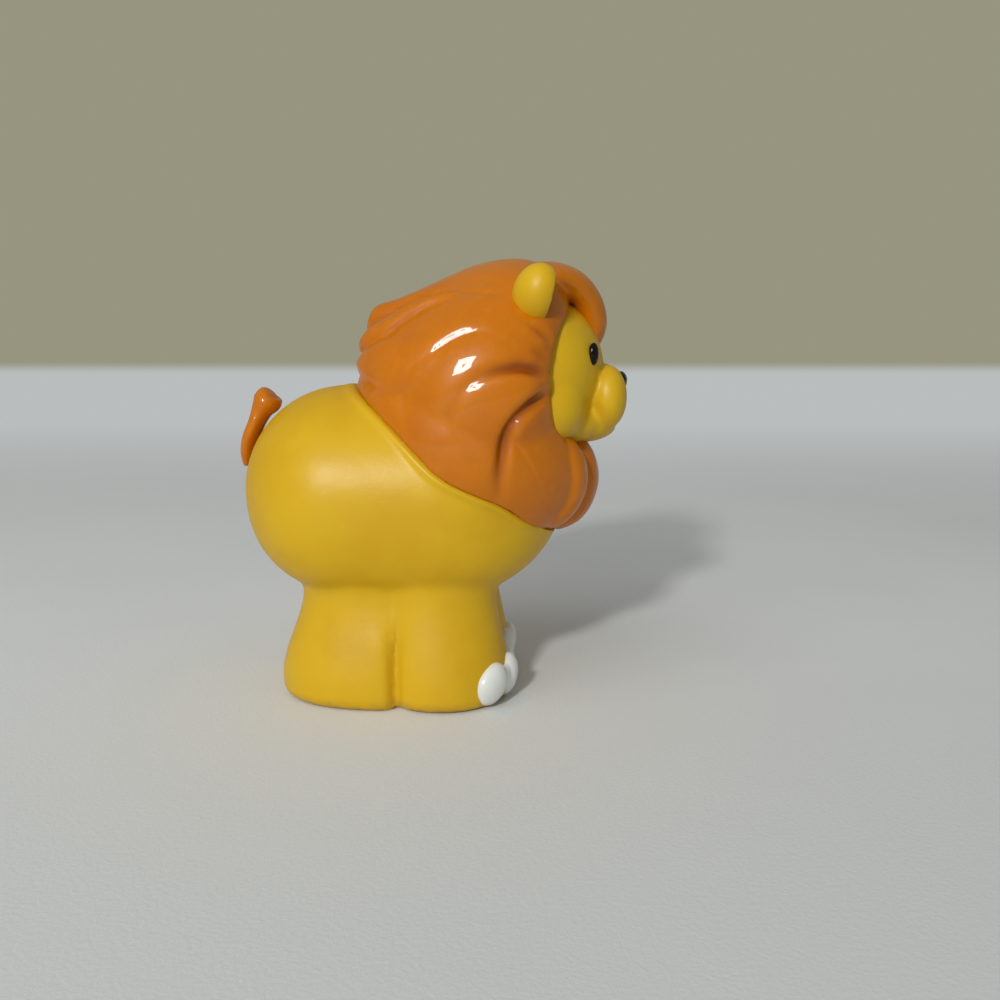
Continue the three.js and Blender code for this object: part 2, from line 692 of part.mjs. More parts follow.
// Tail tuft lying on the rump, with a peg through the body's wall
function tail(grow) {
  const start = new THREE.Vector3(rumpX - tailSetback, 0, barrelZ + tailTop);
  const points = tailShares.map(([back, down]) => start.clone().add(
    new THREE.Vector3(-back * tailRun, 0, -down * tailDrop)));
  const widths = tailShares.map((share) => share[2] * tailHalfWidth + grow);
  const thicknesses = tailShares.map((share) => share[3] * tailThickness + grow);
  const pegRadius = tailPegRadius + grow;
  const peg = new THREE.CylinderGeometry(pegRadius, pegRadius, tailPegLength + grow, 12);
  const middle = points[4];
  const inward = new THREE.Vector3(rumpX, 0, barrelZ).sub(middle).normalize();
  peg.translate(0, (tailPegLength + grow) / 2, 0);
  peg.applyQuaternion(new THREE.Quaternion().setFromUnitVectors(new THREE.Vector3(0, 1, 0), inward));
  peg.translate(middle.x, middle.y, middle.z);
  return freeLock(points, widths, thicknesses, 11, 10).add(solidFrom(peg));
}

// Three toes of one front paw and the webs between them, round the paw's front. Grown, they are their
// own seats and run on down, so that no thin skin is left under them
function toes(side, grow) {
  const paw = leg(frontLeg, toeSeat + grow, 14);
  const apart = (2 * toeSpacingShare * toeWidth) / (frontReach + frontGirth - 2 * toeLean);
  const lobes = [-1, -0.5, 0, 0.5, 1].map((place) => {
    const isWeb = place % 1 !== 0;
    const turn = place * apart - toeTurn;
    const radii = new THREE.Vector3(toeDepth, toeWidth / 2, toeHeight / 2);
    if (isWeb) radii.multiply(webShares);
    radii.addScalar(grow);
    const toe = grow > 0 ? new THREE.CapsuleGeometry(1, 2, 3, 8) : new THREE.SphereGeometry(1, 9, 8);
    if (grow > 0) toe.translate(0, -1, 0);
    toe.rotateX(Math.PI / 2);
    toe.scale(radii.x, radii.y, radii.z);
    toe.rotateX(side * (toeTip - place * toeTipStep));
    toe.rotateZ(side * -turn);
    const forward = (frontReach - toeLean) * Math.cos(turn);
    const sideways = (frontGirth - toeLean) * Math.sin(turn);
    toe.translate(frontAdvance + forward, side * (frontSpread - sideways), toeRise + toeHeight / 2);
    return solidFrom(toe);
  });
  return union(lobes).subtract(side < 0 ? mirrorY(paw) : paw).subtract(otherSide(side, fitGap / 2 - grow));
}

// Everything on the other side of the middle plane, and a margin beyond it
function otherSide(side, margin) {
  const block = new THREE.BoxGeometry(2 * cutOverrun, cutOverrun, 2 * cutOverrun);
  block.translate(0, side * (margin - cutOverrun / 2), 0);
  return solidFrom(block);
}

function bodyShell() {
  const floorUp = footPlate(rimWidth, -cutOverrun, plugRecess + plugThickness + fitGap, 16);
  const cavity = bodyForm(bodyWall, 12, 4)
    .subtract(aboveSeam(-bodyWall))
    .subtract(belowHeight(plugRecess + plugThickness));
  const lip = neckRing(lipRadius, lipRadius + lipWidth, -lipHeight, lipHeight);
  const bore = neckBar(neckBore, -bodyWall - neckBeadHeight, lipHeight);
  const shell = bodyForm(0, 18, 7).subtract(aboveSeam(0)).add(lip);
  return [floorUp, cavity, bore, tail(fitGap), toes(-1, fitGap), toes(1, fitGap)]
    .reduce((rest, cutter) => rest.subtract(cutter), shell);
}

function belowHeight(height) {
  const block = new THREE.BoxGeometry(2 * cutOverrun, 2 * cutOverrun, cutOverrun);
  block.translate(0, 0, height - cutOverrun / 2);
  return solidFrom(block);
}

// Stopper in the foot: a disc in the opening and a flange that laps over the rim
function basePlug() {
  const top = plugRecess + plugThickness;
  const disc = footPlate(rimWidth + fitGap, plugRecess, top + plugLipThickness, 16);
  const flange = footPlate(bodyWall + 2 * fitGap, top + fitGap, top + plugLipThickness, 16);
  return disc.add(flange);
}

function headPiece() {
  const hollow = maneBall(maneWall + fitGap + headWall, 12)
    .add(neckBar(neckBore - fitGap - headWall, -neckPlugLength - fitGap, maneRise));
  const outside = headForm(0).subtract(belowSeam(fitGap)).add(neckPlug(0));
  return [hollow, eye(-1, fitGap), eye(1, fitGap), nose(fitGap)]
    .reduce((rest, cutter) => rest.subtract(cutter), outside);
}

function belowSeam(shift) {
  const block = new THREE.BoxGeometry(2 * cutOverrun, 2 * cutOverrun, cutOverrun);
  block.translate(0, 0, shift - cutOverrun / 2);
  return onNeck(block);
}

// Swelling of the mane over the neck seam
function collar() {
  const swell = new THREE.SphereGeometry(1, 22, 10);
  swell.rotateX(Math.PI / 2);
  swell.scale(collarRadius, collarRadius, collarHeight);
  swell.translate(0, 0, collarRise);
  return onNeck(swell);
}

// Mane: overlapping locks on a thin skin, opened for the face, the skull and the neck
function mane() {
  const sides = Object.values(sideLockShares).flatMap((shares) =>
    [-1, 1].map((side) => skinLock(shares, side, 8)));
  const creases = Object.values(creaseShares).flatMap((shares) =>
    [-1, 1].map((side) => crease(shares, side, 8, 6)));
  const crown = skinLock(crownLockShares, 1, 10);
  const skin = [faceOpening(0), ...creases]
    .reduce((rest, cutter) => rest.subtract(cutter), union([maneBall(0, 26), collar(), crown, ...sides]));
  const chin = new THREE.Vector3(head.x + beardForward, 0, head.z - faceHalfHeight);
  const brow = new THREE.Vector3(head.x - faceDepth / 2, 0, maneZ + maneHeight / 2);
  const free = [
    hangingLock(beardShares, chin, beardRun, beardDrop, beardLift),
    hangingLock(chinLockShares, chin, beardRun, beardDrop, beardLift, -1),
    hangingLock(chinLockShares, chin, beardRun, beardDrop, beardLift, 1),
    hangingLock(forelockShares, brow, foreRun, foreDrop, foreLift),
  ];
  const lip = neckRing(lipRadius - fitGap, lipRadius + lipWidth + fitGap, -lipHeight, lipHeight + fitGap);
  const sockets = [-1, 1].map((side) => earDome(side, fitGap).subtract(maneBall(earSeat + fitGap, 24)));
  const cutters = [belowSeam(fitGap), lip, headForm(fitGap), neckPlug(fitGap), ...sockets];
  return cutters.reduce((rest, cutter) => rest.subtract(cutter), union([skin, ...free]));
}

// Solid to a named, painted mesh
function piece(name, solid, paint) {
  const { vertProperties, triVerts } = solid.getMesh();
  const shape = new THREE.BufferGeometry();
  shape.setAttribute('position', new THREE.BufferAttribute(vertProperties, 3));
  shape.setIndex(new THREE.BufferAttribute(triVerts, 1));
  shape.computeVertexNormals();
  const mesh = new THREE.Mesh(shape, new THREE.MeshStandardMaterial(paint));
  mesh.name = name;
  return mesh;
}

const group = new THREE.Group();
group.add(piece('body_shell', bodyShell(), paints.yellow));
group.add(piece('base_plug', basePlug(), paints.yellow));
group.add(piece('head', headPiece(), paints.yellow));
group.add(piece('mane', mane(), paints.orange));
group.add(piece('nose', nose(0), paints.black));
group.add(piece('tail', tail(0), paints.orange));
for (const [word, side] of [['left', 1], ['right', -1]]) {
  group.add(piece(`ear_${word}`, ear(side), paints.yellow));
  group.add(piece(`eye_${word}`, eye(side, 0), paints.black));
  group.add(piece(`toes_front_${word}`, toes(side, 0), paints.white));
}

export default group;
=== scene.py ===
import math

import bpy
import numpy as np
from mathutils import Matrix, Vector


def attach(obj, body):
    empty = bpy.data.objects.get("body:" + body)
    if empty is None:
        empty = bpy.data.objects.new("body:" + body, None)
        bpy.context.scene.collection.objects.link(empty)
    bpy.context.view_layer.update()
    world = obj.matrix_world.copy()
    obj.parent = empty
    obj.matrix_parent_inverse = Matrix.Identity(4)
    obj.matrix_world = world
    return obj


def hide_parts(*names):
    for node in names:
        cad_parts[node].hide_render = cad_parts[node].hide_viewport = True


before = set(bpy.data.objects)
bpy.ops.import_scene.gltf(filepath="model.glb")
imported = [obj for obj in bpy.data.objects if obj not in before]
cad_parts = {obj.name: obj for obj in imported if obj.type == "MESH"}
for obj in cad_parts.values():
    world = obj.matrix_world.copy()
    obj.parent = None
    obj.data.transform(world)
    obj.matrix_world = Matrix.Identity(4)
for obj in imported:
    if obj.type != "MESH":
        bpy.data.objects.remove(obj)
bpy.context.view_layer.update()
mm = 0.001  # the toy is in millimetres; the stage, lamps and camera are in metres
rad = math.radians

# places that several pieces share
body = {
    "legHeight": 17.7, "rumpSetback": 15, "rumpRadius": 17.8, "rumpWidth": 40.6, "barrelRun": 15.5,
    "chestLength": 22.5, "chestRadius": 19, "chestWidth": 42, "bellySquareness": 2.7,
    "neckForward": 19, "neckRise": 5.3, "neckTilt": rad(35.8), "headForward": 14.5, "headRise": 15.2,
    "faceHalfWidth": 15,
}
barrelZ = body["legHeight"] + body["rumpRadius"]
rumpX = -body["rumpSetback"]
neck = Vector((rumpX + body["neckForward"], 0, barrelZ + body["neckRise"]))
head = neck + Vector((body["headForward"], 0, body["headRise"]))
seamNormal = Vector((math.sin(body["neckTilt"]), 0, math.cos(body["neckTilt"])))
seamForward = Vector((math.cos(body["neckTilt"]), 0, -math.sin(body["neckTilt"])))


def nothingSelected():
    if bpy.context.object and bpy.context.object.mode != "OBJECT":
        bpy.ops.object.mode_set(mode="OBJECT")
    bpy.ops.object.select_all(action="DESELECT")


def pick(piece):
    nothingSelected()
    piece.select_set(True)
    bpy.context.view_layer.objects.active = piece


def openMesh():
    bpy.ops.object.mode_set(mode="EDIT")
    bpy.ops.mesh.select_all(action="SELECT")


def closeMesh():
    bpy.ops.object.mode_set(mode="OBJECT")


def closeSound():
    # closes the mesh with its faces turned outwards
    bpy.ops.mesh.select_all(action="SELECT")
    bpy.ops.mesh.normals_make_consistent(inside=False)
    closeMesh()


def startPiece(name):
    # names the primitive that was just added and opens it
    piece = bpy.context.object
    piece.name = name
    openMesh()
    return piece


def metres(place):
    return tuple(value * mm for value in place)


def turn(angle, axis, centre=(0, 0, 0)):
    # with no window the operator turns the other way
    bpy.ops.transform.rotate(value=-angle, orient_axis=axis, center_override=metres(centre))


def stretch(x, y, z, centre=(0, 0, 0)):
    bpy.ops.transform.resize(value=(x, y, z), center_override=metres(centre))


def shift(x, y, z):
    bpy.ops.transform.translate(value=metres((x, y, z)))


def extrude(step):
    bpy.ops.mesh.extrude_region_move(TRANSFORM_OT_translate={"value": step})


def selectParts(kind, parts, test):
    bpy.ops.mesh.select_mode(type=kind)
    bpy.ops.mesh.select_all(action="DESELECT")
    closeMesh()
    for part in parts:
        part.select = test(part)
    bpy.ops.object.mode_set(mode="EDIT")


def selectWhere(piece, test):
    # picks vertices by their place, in millimetres
    selectParts("VERT", piece.data.vertices, lambda vertex: test(vertex.co / mm))


def addBall(name, centre, radii, segments=64, rings=32):
    nothingSelected()
    bpy.ops.mesh.primitive_uv_sphere_add(segments=segments, ring_count=rings, radius=mm)
    piece = startPiece(name)
    stretch(*radii)
    shift(*centre)
    closeMesh()
    return piece


def sweepRing(name, stations, around=48):
    # a ring drawn through stations: centre, lean forward, half thickness and half width
    nothingSelected()
    bpy.ops.mesh.primitive_circle_add(vertices=around, radius=mm, fill_type="NGON")
    piece = startPiece(name)
    centre, lean, thick, wide = stations[0]
    stretch(thick, wide, 1)
    turn(lean, "Y")
    shift(*centre)
    for nextCentre, nextLean, nextThick, nextWide in stations[1:]:
        extrude((Vector(nextCentre) - Vector(centre)) * mm)
        turn(-lean, "Y", nextCentre)
        stretch(nextThick / thick, nextWide / wide, 1, nextCentre)
        turn(nextLean, "Y", nextCentre)
        centre, lean, thick, wide = nextCentre, nextLean, nextThick, nextWide
    closeSound()
    return piece


def sweepRows(name, rows, around):
    # a ring swept through rows of centre, half thickness and half width, square to the way it runs
    stations = []
    for step, (centre, thick, wide) in enumerate(rows):
        heading = rows[min(len(rows) - 1, step + 1)][0] - rows[max(0, step - 1)][0]
        stations.append((tuple(centre), math.atan2(heading.x, heading.z), thick, wide))
    return sweepRing(name, stations, around)


def joinPieces(name, pieces):
    nothingSelected()
    for piece in pieces:
        piece.select_set(True)
    bpy.context.view_layer.objects.active = pieces[0]
    bpy.ops.object.join()
    pieces[0].name = name
    return pieces[0]


def applyModifier(piece, kind, **settings):
    pick(piece)
    modifier = piece.modifiers.new(kind, kind)
    for key, value in settings.items():
        setattr(modifier, key, value)
    bpy.ops.object.modifier_apply(modifier=modifier.name)
    return piece


def fuse(piece, voxel):
    return applyModifier(piece, "REMESH", mode="VOXEL", voxel_size=voxel * mm, use_smooth_shade=True)


def soften(piece, rounds, **where):
    return applyModifier(piece, "SMOOTH", factor=0.5, iterations=rounds, **where)


def softenWhere(piece, rounds, weigh):
    # smooths only where weigh, a function of the place in millimetres, gives more than 0
    group = piece.vertex_groups.new(name="soften")
    for vertex in piece.data.vertices:
        weight = weigh(vertex.co / mm)
        if weight > 0:
            group.add([vertex.index], min(weight, 1), "REPLACE")
    soften(piece, rounds, vertex_group="soften")
    piece.vertex_groups.remove(piece.vertex_groups["soften"])
    return piece


def readVectors(data, name):
    values = np.empty(len(data) * 3, np.float32)
    data.foreach_get(name, values)
    return values.reshape(-1, 3).astype(float)


def readPlaces(piece):
    return readVectors(piece.data.vertices, "co") / mm


def readNormals(piece):
    return readVectors(piece.data.vertex_normals, "vector")


def writePlaces(piece, places):
    piece.data.vertices.foreach_set("co", (places * mm).ravel().astype(np.float32))
    piece.data.update()


def easeIn(values):
    # 0 below 0, 1 above 1 and smooth between
    values = np.clip(values, 0, 1)
    return values * values * (3 - 2 * values)


def pressLines(piece, lines):
    # dents the surface along each line and rounds up its two shores, on both sides of the figure alike
    places = readPlaces(piece)
    normals = readNormals(piece)
    fold = np.ones_like(places)
    fold[places[:, 1] > 0, 1] = -1
    spots = places * fold
    facing = normals * fold
    height = np.zeros(len(places))
    dent = np.zeros(len(places))
    for line in lines:
        path = np.array(line["path"], float)
        strength = np.array(line["strength"], float)
        tangent = np.gradient(path, axis=0)
        tangent /= np.linalg.norm(tangent, axis=1, keepdims=True)
        high, low = line["reach"]
        room = 8 * max(high, low)  # past this the shore is too low to see
        inside = (spots > path.min(0) - room) & (spots < path.max(0) + room)
        near = np.all(inside, axis=1).nonzero()[0]
        gaps = ((spots[near, None] - path[None]) ** 2).sum(2)
        nearest = gaps.argmin(1)
        distance = np.sqrt(gaps.min(1))
        offset = spots[near] - path[nearest]
        across = (offset * np.cross(facing[near], tangent[nearest])).sum(1)
        groove = np.exp(-(distance / line["width"]) ** 2)
        reach = np.where(across > 0, low, high)
        shore = np.where(across > 0, line["below"], line["above"])
        shore = shore * distance / reach * np.exp(1 - distance / reach)
        height[near] += strength[nearest] * (shore - line["depth"] * groove)
        dent[near] = np.maximum(dent[near], strength[nearest] * groove * min(line["depth"], 1))
    writePlaces(piece, places + normals * height[:, None])
    # the dent is kept as crease for the materials, which darken it with painted shade
    crease = piece.data.attributes.new("crease", "FLOAT", "POINT")
    crease.data.foreach_set("value", dent.astype(np.float32))
    return piece


def cutAway(piece, cutter):
    applyModifier(piece, "BOOLEAN", object=cutter, operation="DIFFERENCE", solver="EXACT")
    bpy.data.objects.remove(cutter)
    return piece


def cutFlat(piece, place, normal):
    # keeps what lies behind the plane and closes it
    pick(piece)
    openMesh()
    bpy.ops.mesh.bisect(plane_co=place * mm, plane_no=normal, use_fill=True, clear_outer=True)
    closeMesh()
    return piece


def smoothShade(piece, angle=None):
    pick(piece)
    if angle is None:
        bpy.ops.object.shade_smooth()
    else:
        bpy.ops.object.shade_smooth_by_angle(angle=angle)
    return piece


def blendShares(table, share):
    # smooth curve through a table whose first column is the share of the way
    keys = [row[0] for row in table]
    rows = [np.array(row[1:], float) for row in table]
    last = len(rows) - 1
    slopes = []
    for index in range(last + 1):
        low, high = max(0, index - 1), min(last, index + 1)
        slopes.append((rows[high] - rows[low]) / (keys[high] - keys[low]))
    share = min(max(share, keys[0]), keys[-1])
    spot = min(max(int(np.searchsorted(keys, share)) - 1, 0), last - 1)
    run = keys[spot + 1] - keys[spot]
    t = (share - keys[spot]) / run
    return (rows[spot] * (2 * t**3 - 3 * t**2 + 1) + slopes[spot] * run * (t**3 - 2 * t**2 + t)
            + rows[spot + 1] * (3 * t**2 - 2 * t**3) + slopes[spot + 1] * run * (t**3 - t**2))


def routePoint(rows, share):
    table = [[index / (len(rows) - 1), *row] for index, row in enumerate(rows)]
    return blendShares(table, share)


print("body")
legs = {
    "footRound": 2.2, "footHeight": 4.5, "waistHeight": 18,
    "hind": {"x": -11.3, "y": 5.8, "reach": 15.2, "girth": 11.6, "heel": 4, "toe": 0, "side": 2.2},
    "front": {"x": 1.7, "y": 8, "reach": 11.5, "girth": 11, "heel": 0, "toe": 2.2, "side": 2.2},
    "edgeSteps": 8, "steps": 20, "stepHeight": 1.2, "around": 72,
}
foot = {"rim": 3.7, "recess": 0.8, "gap": 0.3, "top": 2.8, "voxel": 0.3,
        "cutFrom": -5, "cutTop": 1.2, "cutVoxel": 0.5}
shell = {"voxel": 0.38, "legRounds": 5, "creaseRounds": 60, "creaseFrom": 9, "creaseRun": 6, "lastRounds": 2,
         "shadeAngle": rad(40)}
# the groove between the near legs: above and below are its two shores, which fade out over their reach
legGroove = {"depth": 0.65, "width": 1.1, "above": 0.05, "below": 0.5, "reach": (1.6, 1.6), "x": -6, "y": -16.6,
             "low": 0, "high": 17.5, "fade": 6, "steps": 40}
# the mane's lower edge: its sag, its room off the body, and the lip that the body raises below it
hem = {"bow": 1.75, "middle": -1.5, "half": 8, "height": 7, "clear": 0.5, "soft": 0.9,
       "frontBow": 0.35, "frontFrom": 11, "frontRun": 4,
       "sideFrom": 9, "sideRun": 4, "pushMost": 2, "pushFade": 1.5, "pushHeight": 1.5,
       "lip": 0.65, "lipDrop": 0.45, "lipWidth": 0.45, "lipFoot": 0.75, "lipEnd": 18, "lipFade": 4}


def legStation(leg, side, height):
    low = max(0, legs["footRound"] - height)
    rounding = legs["footRound"] - math.sqrt(legs["footRound"] ** 2 - low ** 2)
    climb = (height - legs["footHeight"]) / (legs["waistHeight"] - legs["footHeight"])
    climb = min(max(climb, 0), 1)
    climb = (climb + climb * climb * (3 - 2 * climb)) / 2
    middle = leg["x"] + (leg["heel"] - leg["toe"]) * climb / 2
    reach = leg["reach"] - rounding - (leg["heel"] + leg["toe"]) * climb / 2
    girth = leg["girth"] - rounding - leg["side"] * climb
    return (middle, side * leg["y"], height), 0, reach, girth


def makeLeg(leg, side):
    edge = [legs["footRound"] * (1 - math.cos(step * math.pi / 2 / legs["edgeSteps"]))
            for step in range(legs["edgeSteps"])]
    climb = [legs["footRound"] + step * legs["stepHeight"] for step in range(legs["steps"])]
    return sweepRing("leg", [legStation(leg, side, height) for height in edge + climb], legs["around"])


def makeBarrel():
    # one ball whose rear half becomes the rump and whose front half becomes the chest, drawn apart
    nothingSelected()
    bpy.ops.mesh.primitive_uv_sphere_add(segments=96, ring_count=64, radius=mm)
    barrel = startPiece("barrel")
    turn(rad(90), "Y")
    closeMesh()
    power = 2 / body["bellySquareness"]
    for vertex in barrel.data.vertices:  # the lower half is fuller than a plain round
        x, y, z = vertex.co / mm
        radius = math.hypot(y, z)
        if z < 0 and radius > 1e-6:
            y = math.copysign(radius * (abs(y) / radius) ** power, y)
            z = -radius * (abs(z) / radius) ** power
            vertex.co = Vector((x, y, z)) * mm
    openMesh()
    selectWhere(barrel, lambda place: place.x <= 1e-4)
    stretch(body["rumpRadius"], body["rumpWidth"] / 2, body["rumpRadius"])
    selectWhere(barrel, lambda place: 1e-4 < place.x < 1.01)
    stretch(body["chestLength"], body["chestWidth"] / 2, body["chestRadius"])
    shift(body["barrelRun"], 0, 0)
    bpy.ops.mesh.select_all(action="SELECT")
    shift(rumpX, 0, barrelZ)
    closeMesh()
    return barrel


def footPlate(name, inset, low, high):
    plates = []
    for leg in (legs["hind"], legs["front"]):
        for side in (-1, 1):
            middle = (leg["x"], side * leg["y"])
            stations = [((*middle, height), 0, leg["reach"] - inset, leg["girth"] - inset)
                        for height in (low, high)]
            plates.append(sweepRing(name, stations, legs["around"]))
    return joinPieces(name, plates)


def barrelHalf(x, z):
    # half width of the barrel at a place, 0 outside it
    share = np.clip((x - rumpX) / body["barrelRun"], 0, 1)
    radius = body["rumpRadius"] + (body["chestRadius"] - body["rumpRadius"]) * share
    width = (body["rumpWidth"] + (body["chestWidth"] - body["rumpWidth"]) * share) / 2
    behind = np.maximum(rumpX - x, 0) / body["rumpRadius"]
    ahead = np.maximum(x - rumpX - body["barrelRun"], 0) / body["chestLength"]
    swell = np.sqrt(np.maximum(1 - behind ** 2 - ahead ** 2, 1e-9))
    power = np.where(z < barrelZ, body["bellySquareness"], 2)
    level = np.abs(z - barrelZ) / (radius * swell)
    return width * swell * np.maximum(1 - level ** power, 0) ** (1 / power)


def seamPlaces(places):
    # how far each place lies above the neck's seam and how far forward along it
    fromNeck = places - np.array(neck)
    return fromNeck @ np.array(seamNormal), fromNeck @ np.array(seamForward)


def hemBow(along):
    sag = hem["bow"] * np.exp(-((along - hem["middle"]) / hem["half"]) ** 2)
    return sag + hem["frontBow"] * easeIn((along - hem["frontFrom"]) / hem["frontRun"])


def raiseLip(piece):
    # a soft bead on the body just below the mane's edge, blunt towards the mane and drawn out below
    places = readPlaces(piece)
    normals = readNormals(piece)
    up = np.array(seamNormal)
    outward = normals - (normals @ up)[:, None] * up[None]
    above, along = seamPlaces(places)
    below = above + hemBow(along) + hem["lipDrop"]
    width = np.where(below > 0, hem["lipWidth"], hem["lipFoot"])
    bead = hem["lip"] * np.exp(-(below / width) ** 2) * easeIn((hem["lipEnd"] - along) / hem["lipFade"])
    writePlaces(piece, places + outward * bead[:, None])


def pressLegGroove(piece):
    heights = np.linspace(legGroove["low"], legGroove["high"], legGroove["steps"])
    path = [(legGroove["x"], legGroove["y"], height) for height in heights]
    strength = np.clip((legGroove["high"] - heights) / legGroove["fade"], 0, 1)
    pressLines(piece, [{**legGroove, "path": path, "strength": strength}])


def makeBody():
    parts = [makeBarrel()]
    parts += [makeLeg(legs[name], side) for name in ("hind", "front") for side in (-1, 1)]
    piece = fuse(joinPieces("lionBody", parts), shell["voxel"])
    soften(piece, shell["legRounds"])
    softenWhere(piece, shell["creaseRounds"],
                lambda place: (place.z - shell["creaseFrom"]) / shell["creaseRun"])
    cutFlat(piece, neck, seamNormal)
    pressLegGroove(piece)
    raiseLip(piece)
    soften(piece, shell["lastRounds"])
    places = readPlaces(piece)
    places[:, 2] = np.maximum(places[:, 2], 0)  # the feet stay flat on the floor
    writePlaces(piece, places)
    cutAway(piece, fuse(footPlate("footCut", foot["rim"], foot["cutFrom"], foot["cutTop"]), foot["cutVoxel"]))
    return smoothShade(piece, shell["shadeAngle"])


def makeStopper():
    plate = footPlate("footStopper", foot["rim"] + foot["gap"], foot["recess"], foot["top"])
    return smoothShade(fuse(plate, foot["voxel"]), shell["shadeAngle"])


lionBody = makeBody()
footStopper = makeStopper()


print("mane")
mane = {
    "length": 35, "width": 45.8, "height": 42.4, "setback": 16, "rise": 11.3,
    "rimForward": 14.8, "rimRise": 14.2, "rimCurve": 18.6, "rimRounds": 24, "rimRound": 3.2, "rimPull": 0.07,
    "lift": 1.1, "sink": 0.6, "depth": 2, "tuck": 0.8, "crest": 2.6, "thinnest": 0.004,
    "flank": 20.6, "ease": 4, "collarRadius": 22.2, "collarRise": 5, "collarHeight": 16,
    "skinSteps": 40, "skinSweep": 0.75, "skinStart": 0.002, "skinLeast": 0.01, "hemGap": 0.3,
    "voxel": 0.32, "skinRounds": 24, "softRounds": 3, "lastRounds": 2,
}
maneBack = neck.x - mane["setback"]
maneZ = neck.z + mane["rise"]
maneStations = [
    [0, 0.09, 0, 0], [0.022, 0.08, 0.12, 0.104], [0.093, 0.066, 0.251, 0.193], [0.231, 0.031, 0.38, 0.318],
    [0.368, 0.009, 0.454, 0.406], [0.505, 0, 0.493, 0.467], [0.643, 0, 0.5, 0.5], [0.78, 0.019, 0.463, 0.49],
    [0.918, 0.066, 0.389, 0.415], [1, 0.09, 0.328, 0.342],
]
# each lock: share of the way from the mane's back, turn from the crown in degrees, half width as a share
# of the mane's width, and lift as a share of the mane's lift
sideLocks = {
    "crownSide": [[0.5, 31, 0.012, 0.2], [0.42, 31, 0.02, 0.6], [0.33, 31, 0.03, 0.9], [0.24, 32, 0.045, 1],
                  [0.16, 33, 0.07, 1.2], [0.1, 35, 0.065, 1.5], [0.06, 38, 0.04, 1.6], [0.03, 40, 0.016, 1.2]],
    "temple": [[0.42, 60, 0.03, 0], [0.34, 66, 0.08, 0.3], [0.2, 74, 0.12, 0.7],
               [0.1, 78, 0.11, 1.1], [0.045, 73, 0.06, 1.3], [0.014, 68, 0.018, 1.2]],
}
crownLock = [[0.98, 0, 0.3, 0.4], [0.8, 0, 0.34, 0.9], [0.62, 0, 0.31, 1], [0.44, 0, 0.225, 0.9],
             [0.32, 0, 0.19, 1], [0.24, 0, 0.15, 1.4], [0.19, 0, 0.11, 1.9], [0.13, 0, 0.085, 2.9],
             [0.09, 0, 0.07, 2.5], [0.062, 0, 0.05, 1.6], [0.052, 0, 0.03, 1.1]]
# each crease: share of the way from the back, turn from the crown in degrees, and strength; above is the
# height of the shore nearer the crown and below that of the other, each with its own reach
creases = {
    "crown": {"depth": 0.35, "width": 0.9, "above": 0.25, "below": 0, "reach": (1.8, 1.5), "rows": [
        [0.74, 43, 0], [0.66, 40, 0.35], [0.54, 34.5, 0.5], [0.42, 26, 0.7], [0.33, 20, 0.9], [0.23, 15, 1],
        [0.14, 13, 1], [0.08, 12, 0.8]]},
    "band": {"depth": 0.45, "width": 0.9, "above": 0.3, "below": 0.1, "reach": (1.8, 1.8), "rows": [
        [0.46, 35, 0], [0.384, 35.4, 0.35], [0.309, 35.4, 0.7], [0.235, 37.7, 0.9], [0.176, 42.2, 1],
        [0.11, 44.4, 1], [0.06, 45.2, 0.9]]},
    "bulge": {"depth": 0.15, "width": 1.1, "above": 0.5, "below": 0, "reach": (2.3, 3.6), "rows": [
        [0.7, 64, 0], [0.64, 61, 0.25], [0.592, 59.2, 0.6], [0.542, 59.2, 1], [0.493, 60, 1],
        [0.434, 62.5, 1], [0.376, 66.3, 0.8], [0.309, 70.8, 0.6], [0.268, 77.5, 0.6], [0.243, 87, 0.6],
        [0.235, 95.6, 0.5], [0.251, 103.2, 0.35], [0.276, 108.5, 0.2], [0.31, 112, 0]]},
    "cheek": {"depth": 1.1, "width": 1.1, "above": 0, "below": 0.6, "reach": (3, 4), "rows": [
        [0.9, 85, 0.7], [0.82, 80.5, 1], [0.76, 78, 1], [0.68, 77.5, 0.8], [0.61, 79, 0.5], [0.54, 82.5, 0.3],
        [0.49, 88, 0.25], [0.46, 94, 0.25], [0.44, 99.5, 0.2], [0.43, 106, 0]]},
    "jowl": {"depth": 1.5, "width": 1.05, "above": 0.35, "below": 0, "reach": (3, 3.6), "rows": [
        [0.89, 95, 0.7], [0.83, 94.5, 1], [0.79, 95.5, 0.9], [0.745, 98.5, 0.8], [0.71, 103.5, 0.85],
        [0.69, 110, 0.9], [0.68, 117.5, 0.7], [0.68, 124, 0.4], [0.685, 131, 0.1], [0.69, 136, 0]]},
    "streak": {"depth": 0.15, "width": 0.8, "above": 0.25, "below": 0, "reach": (1, 1), "rows": [
        [0.25, 70, 0], [0.22, 78, 0.8], [0.185, 90, 0.8], [0.16, 101, 0]]},
    "rimHigh": {"depth": 0.5, "width": 1, "above": 0.2, "below": 0.2, "reach": (1.6, 1.6), "rows": [
        [0.79, 57, 0], [0.83, 61, 0.7], [0.86, 64, 1], [0.9, 68, 1]]},
    "rimLow": {"depth": 0.4, "width": 1, "above": 0.2, "below": 0.2, "reach": (1.6, 1.6), "rows": [
        [0.81, 70, 0], [0.84, 73, 0.7], [0.88, 76.5, 1], [0.92, 79, 1]]},
}


def manePoint(along, angle):
    rise, halfWidth, halfHeight = blendShares(maneStations, along)
    return Vector((maneBack + along * mane["length"],
                   -halfWidth * mane["width"] * math.sin(angle),
                   maneZ + rise * mane["height"] + halfHeight * mane["height"] * math.cos(angle)))


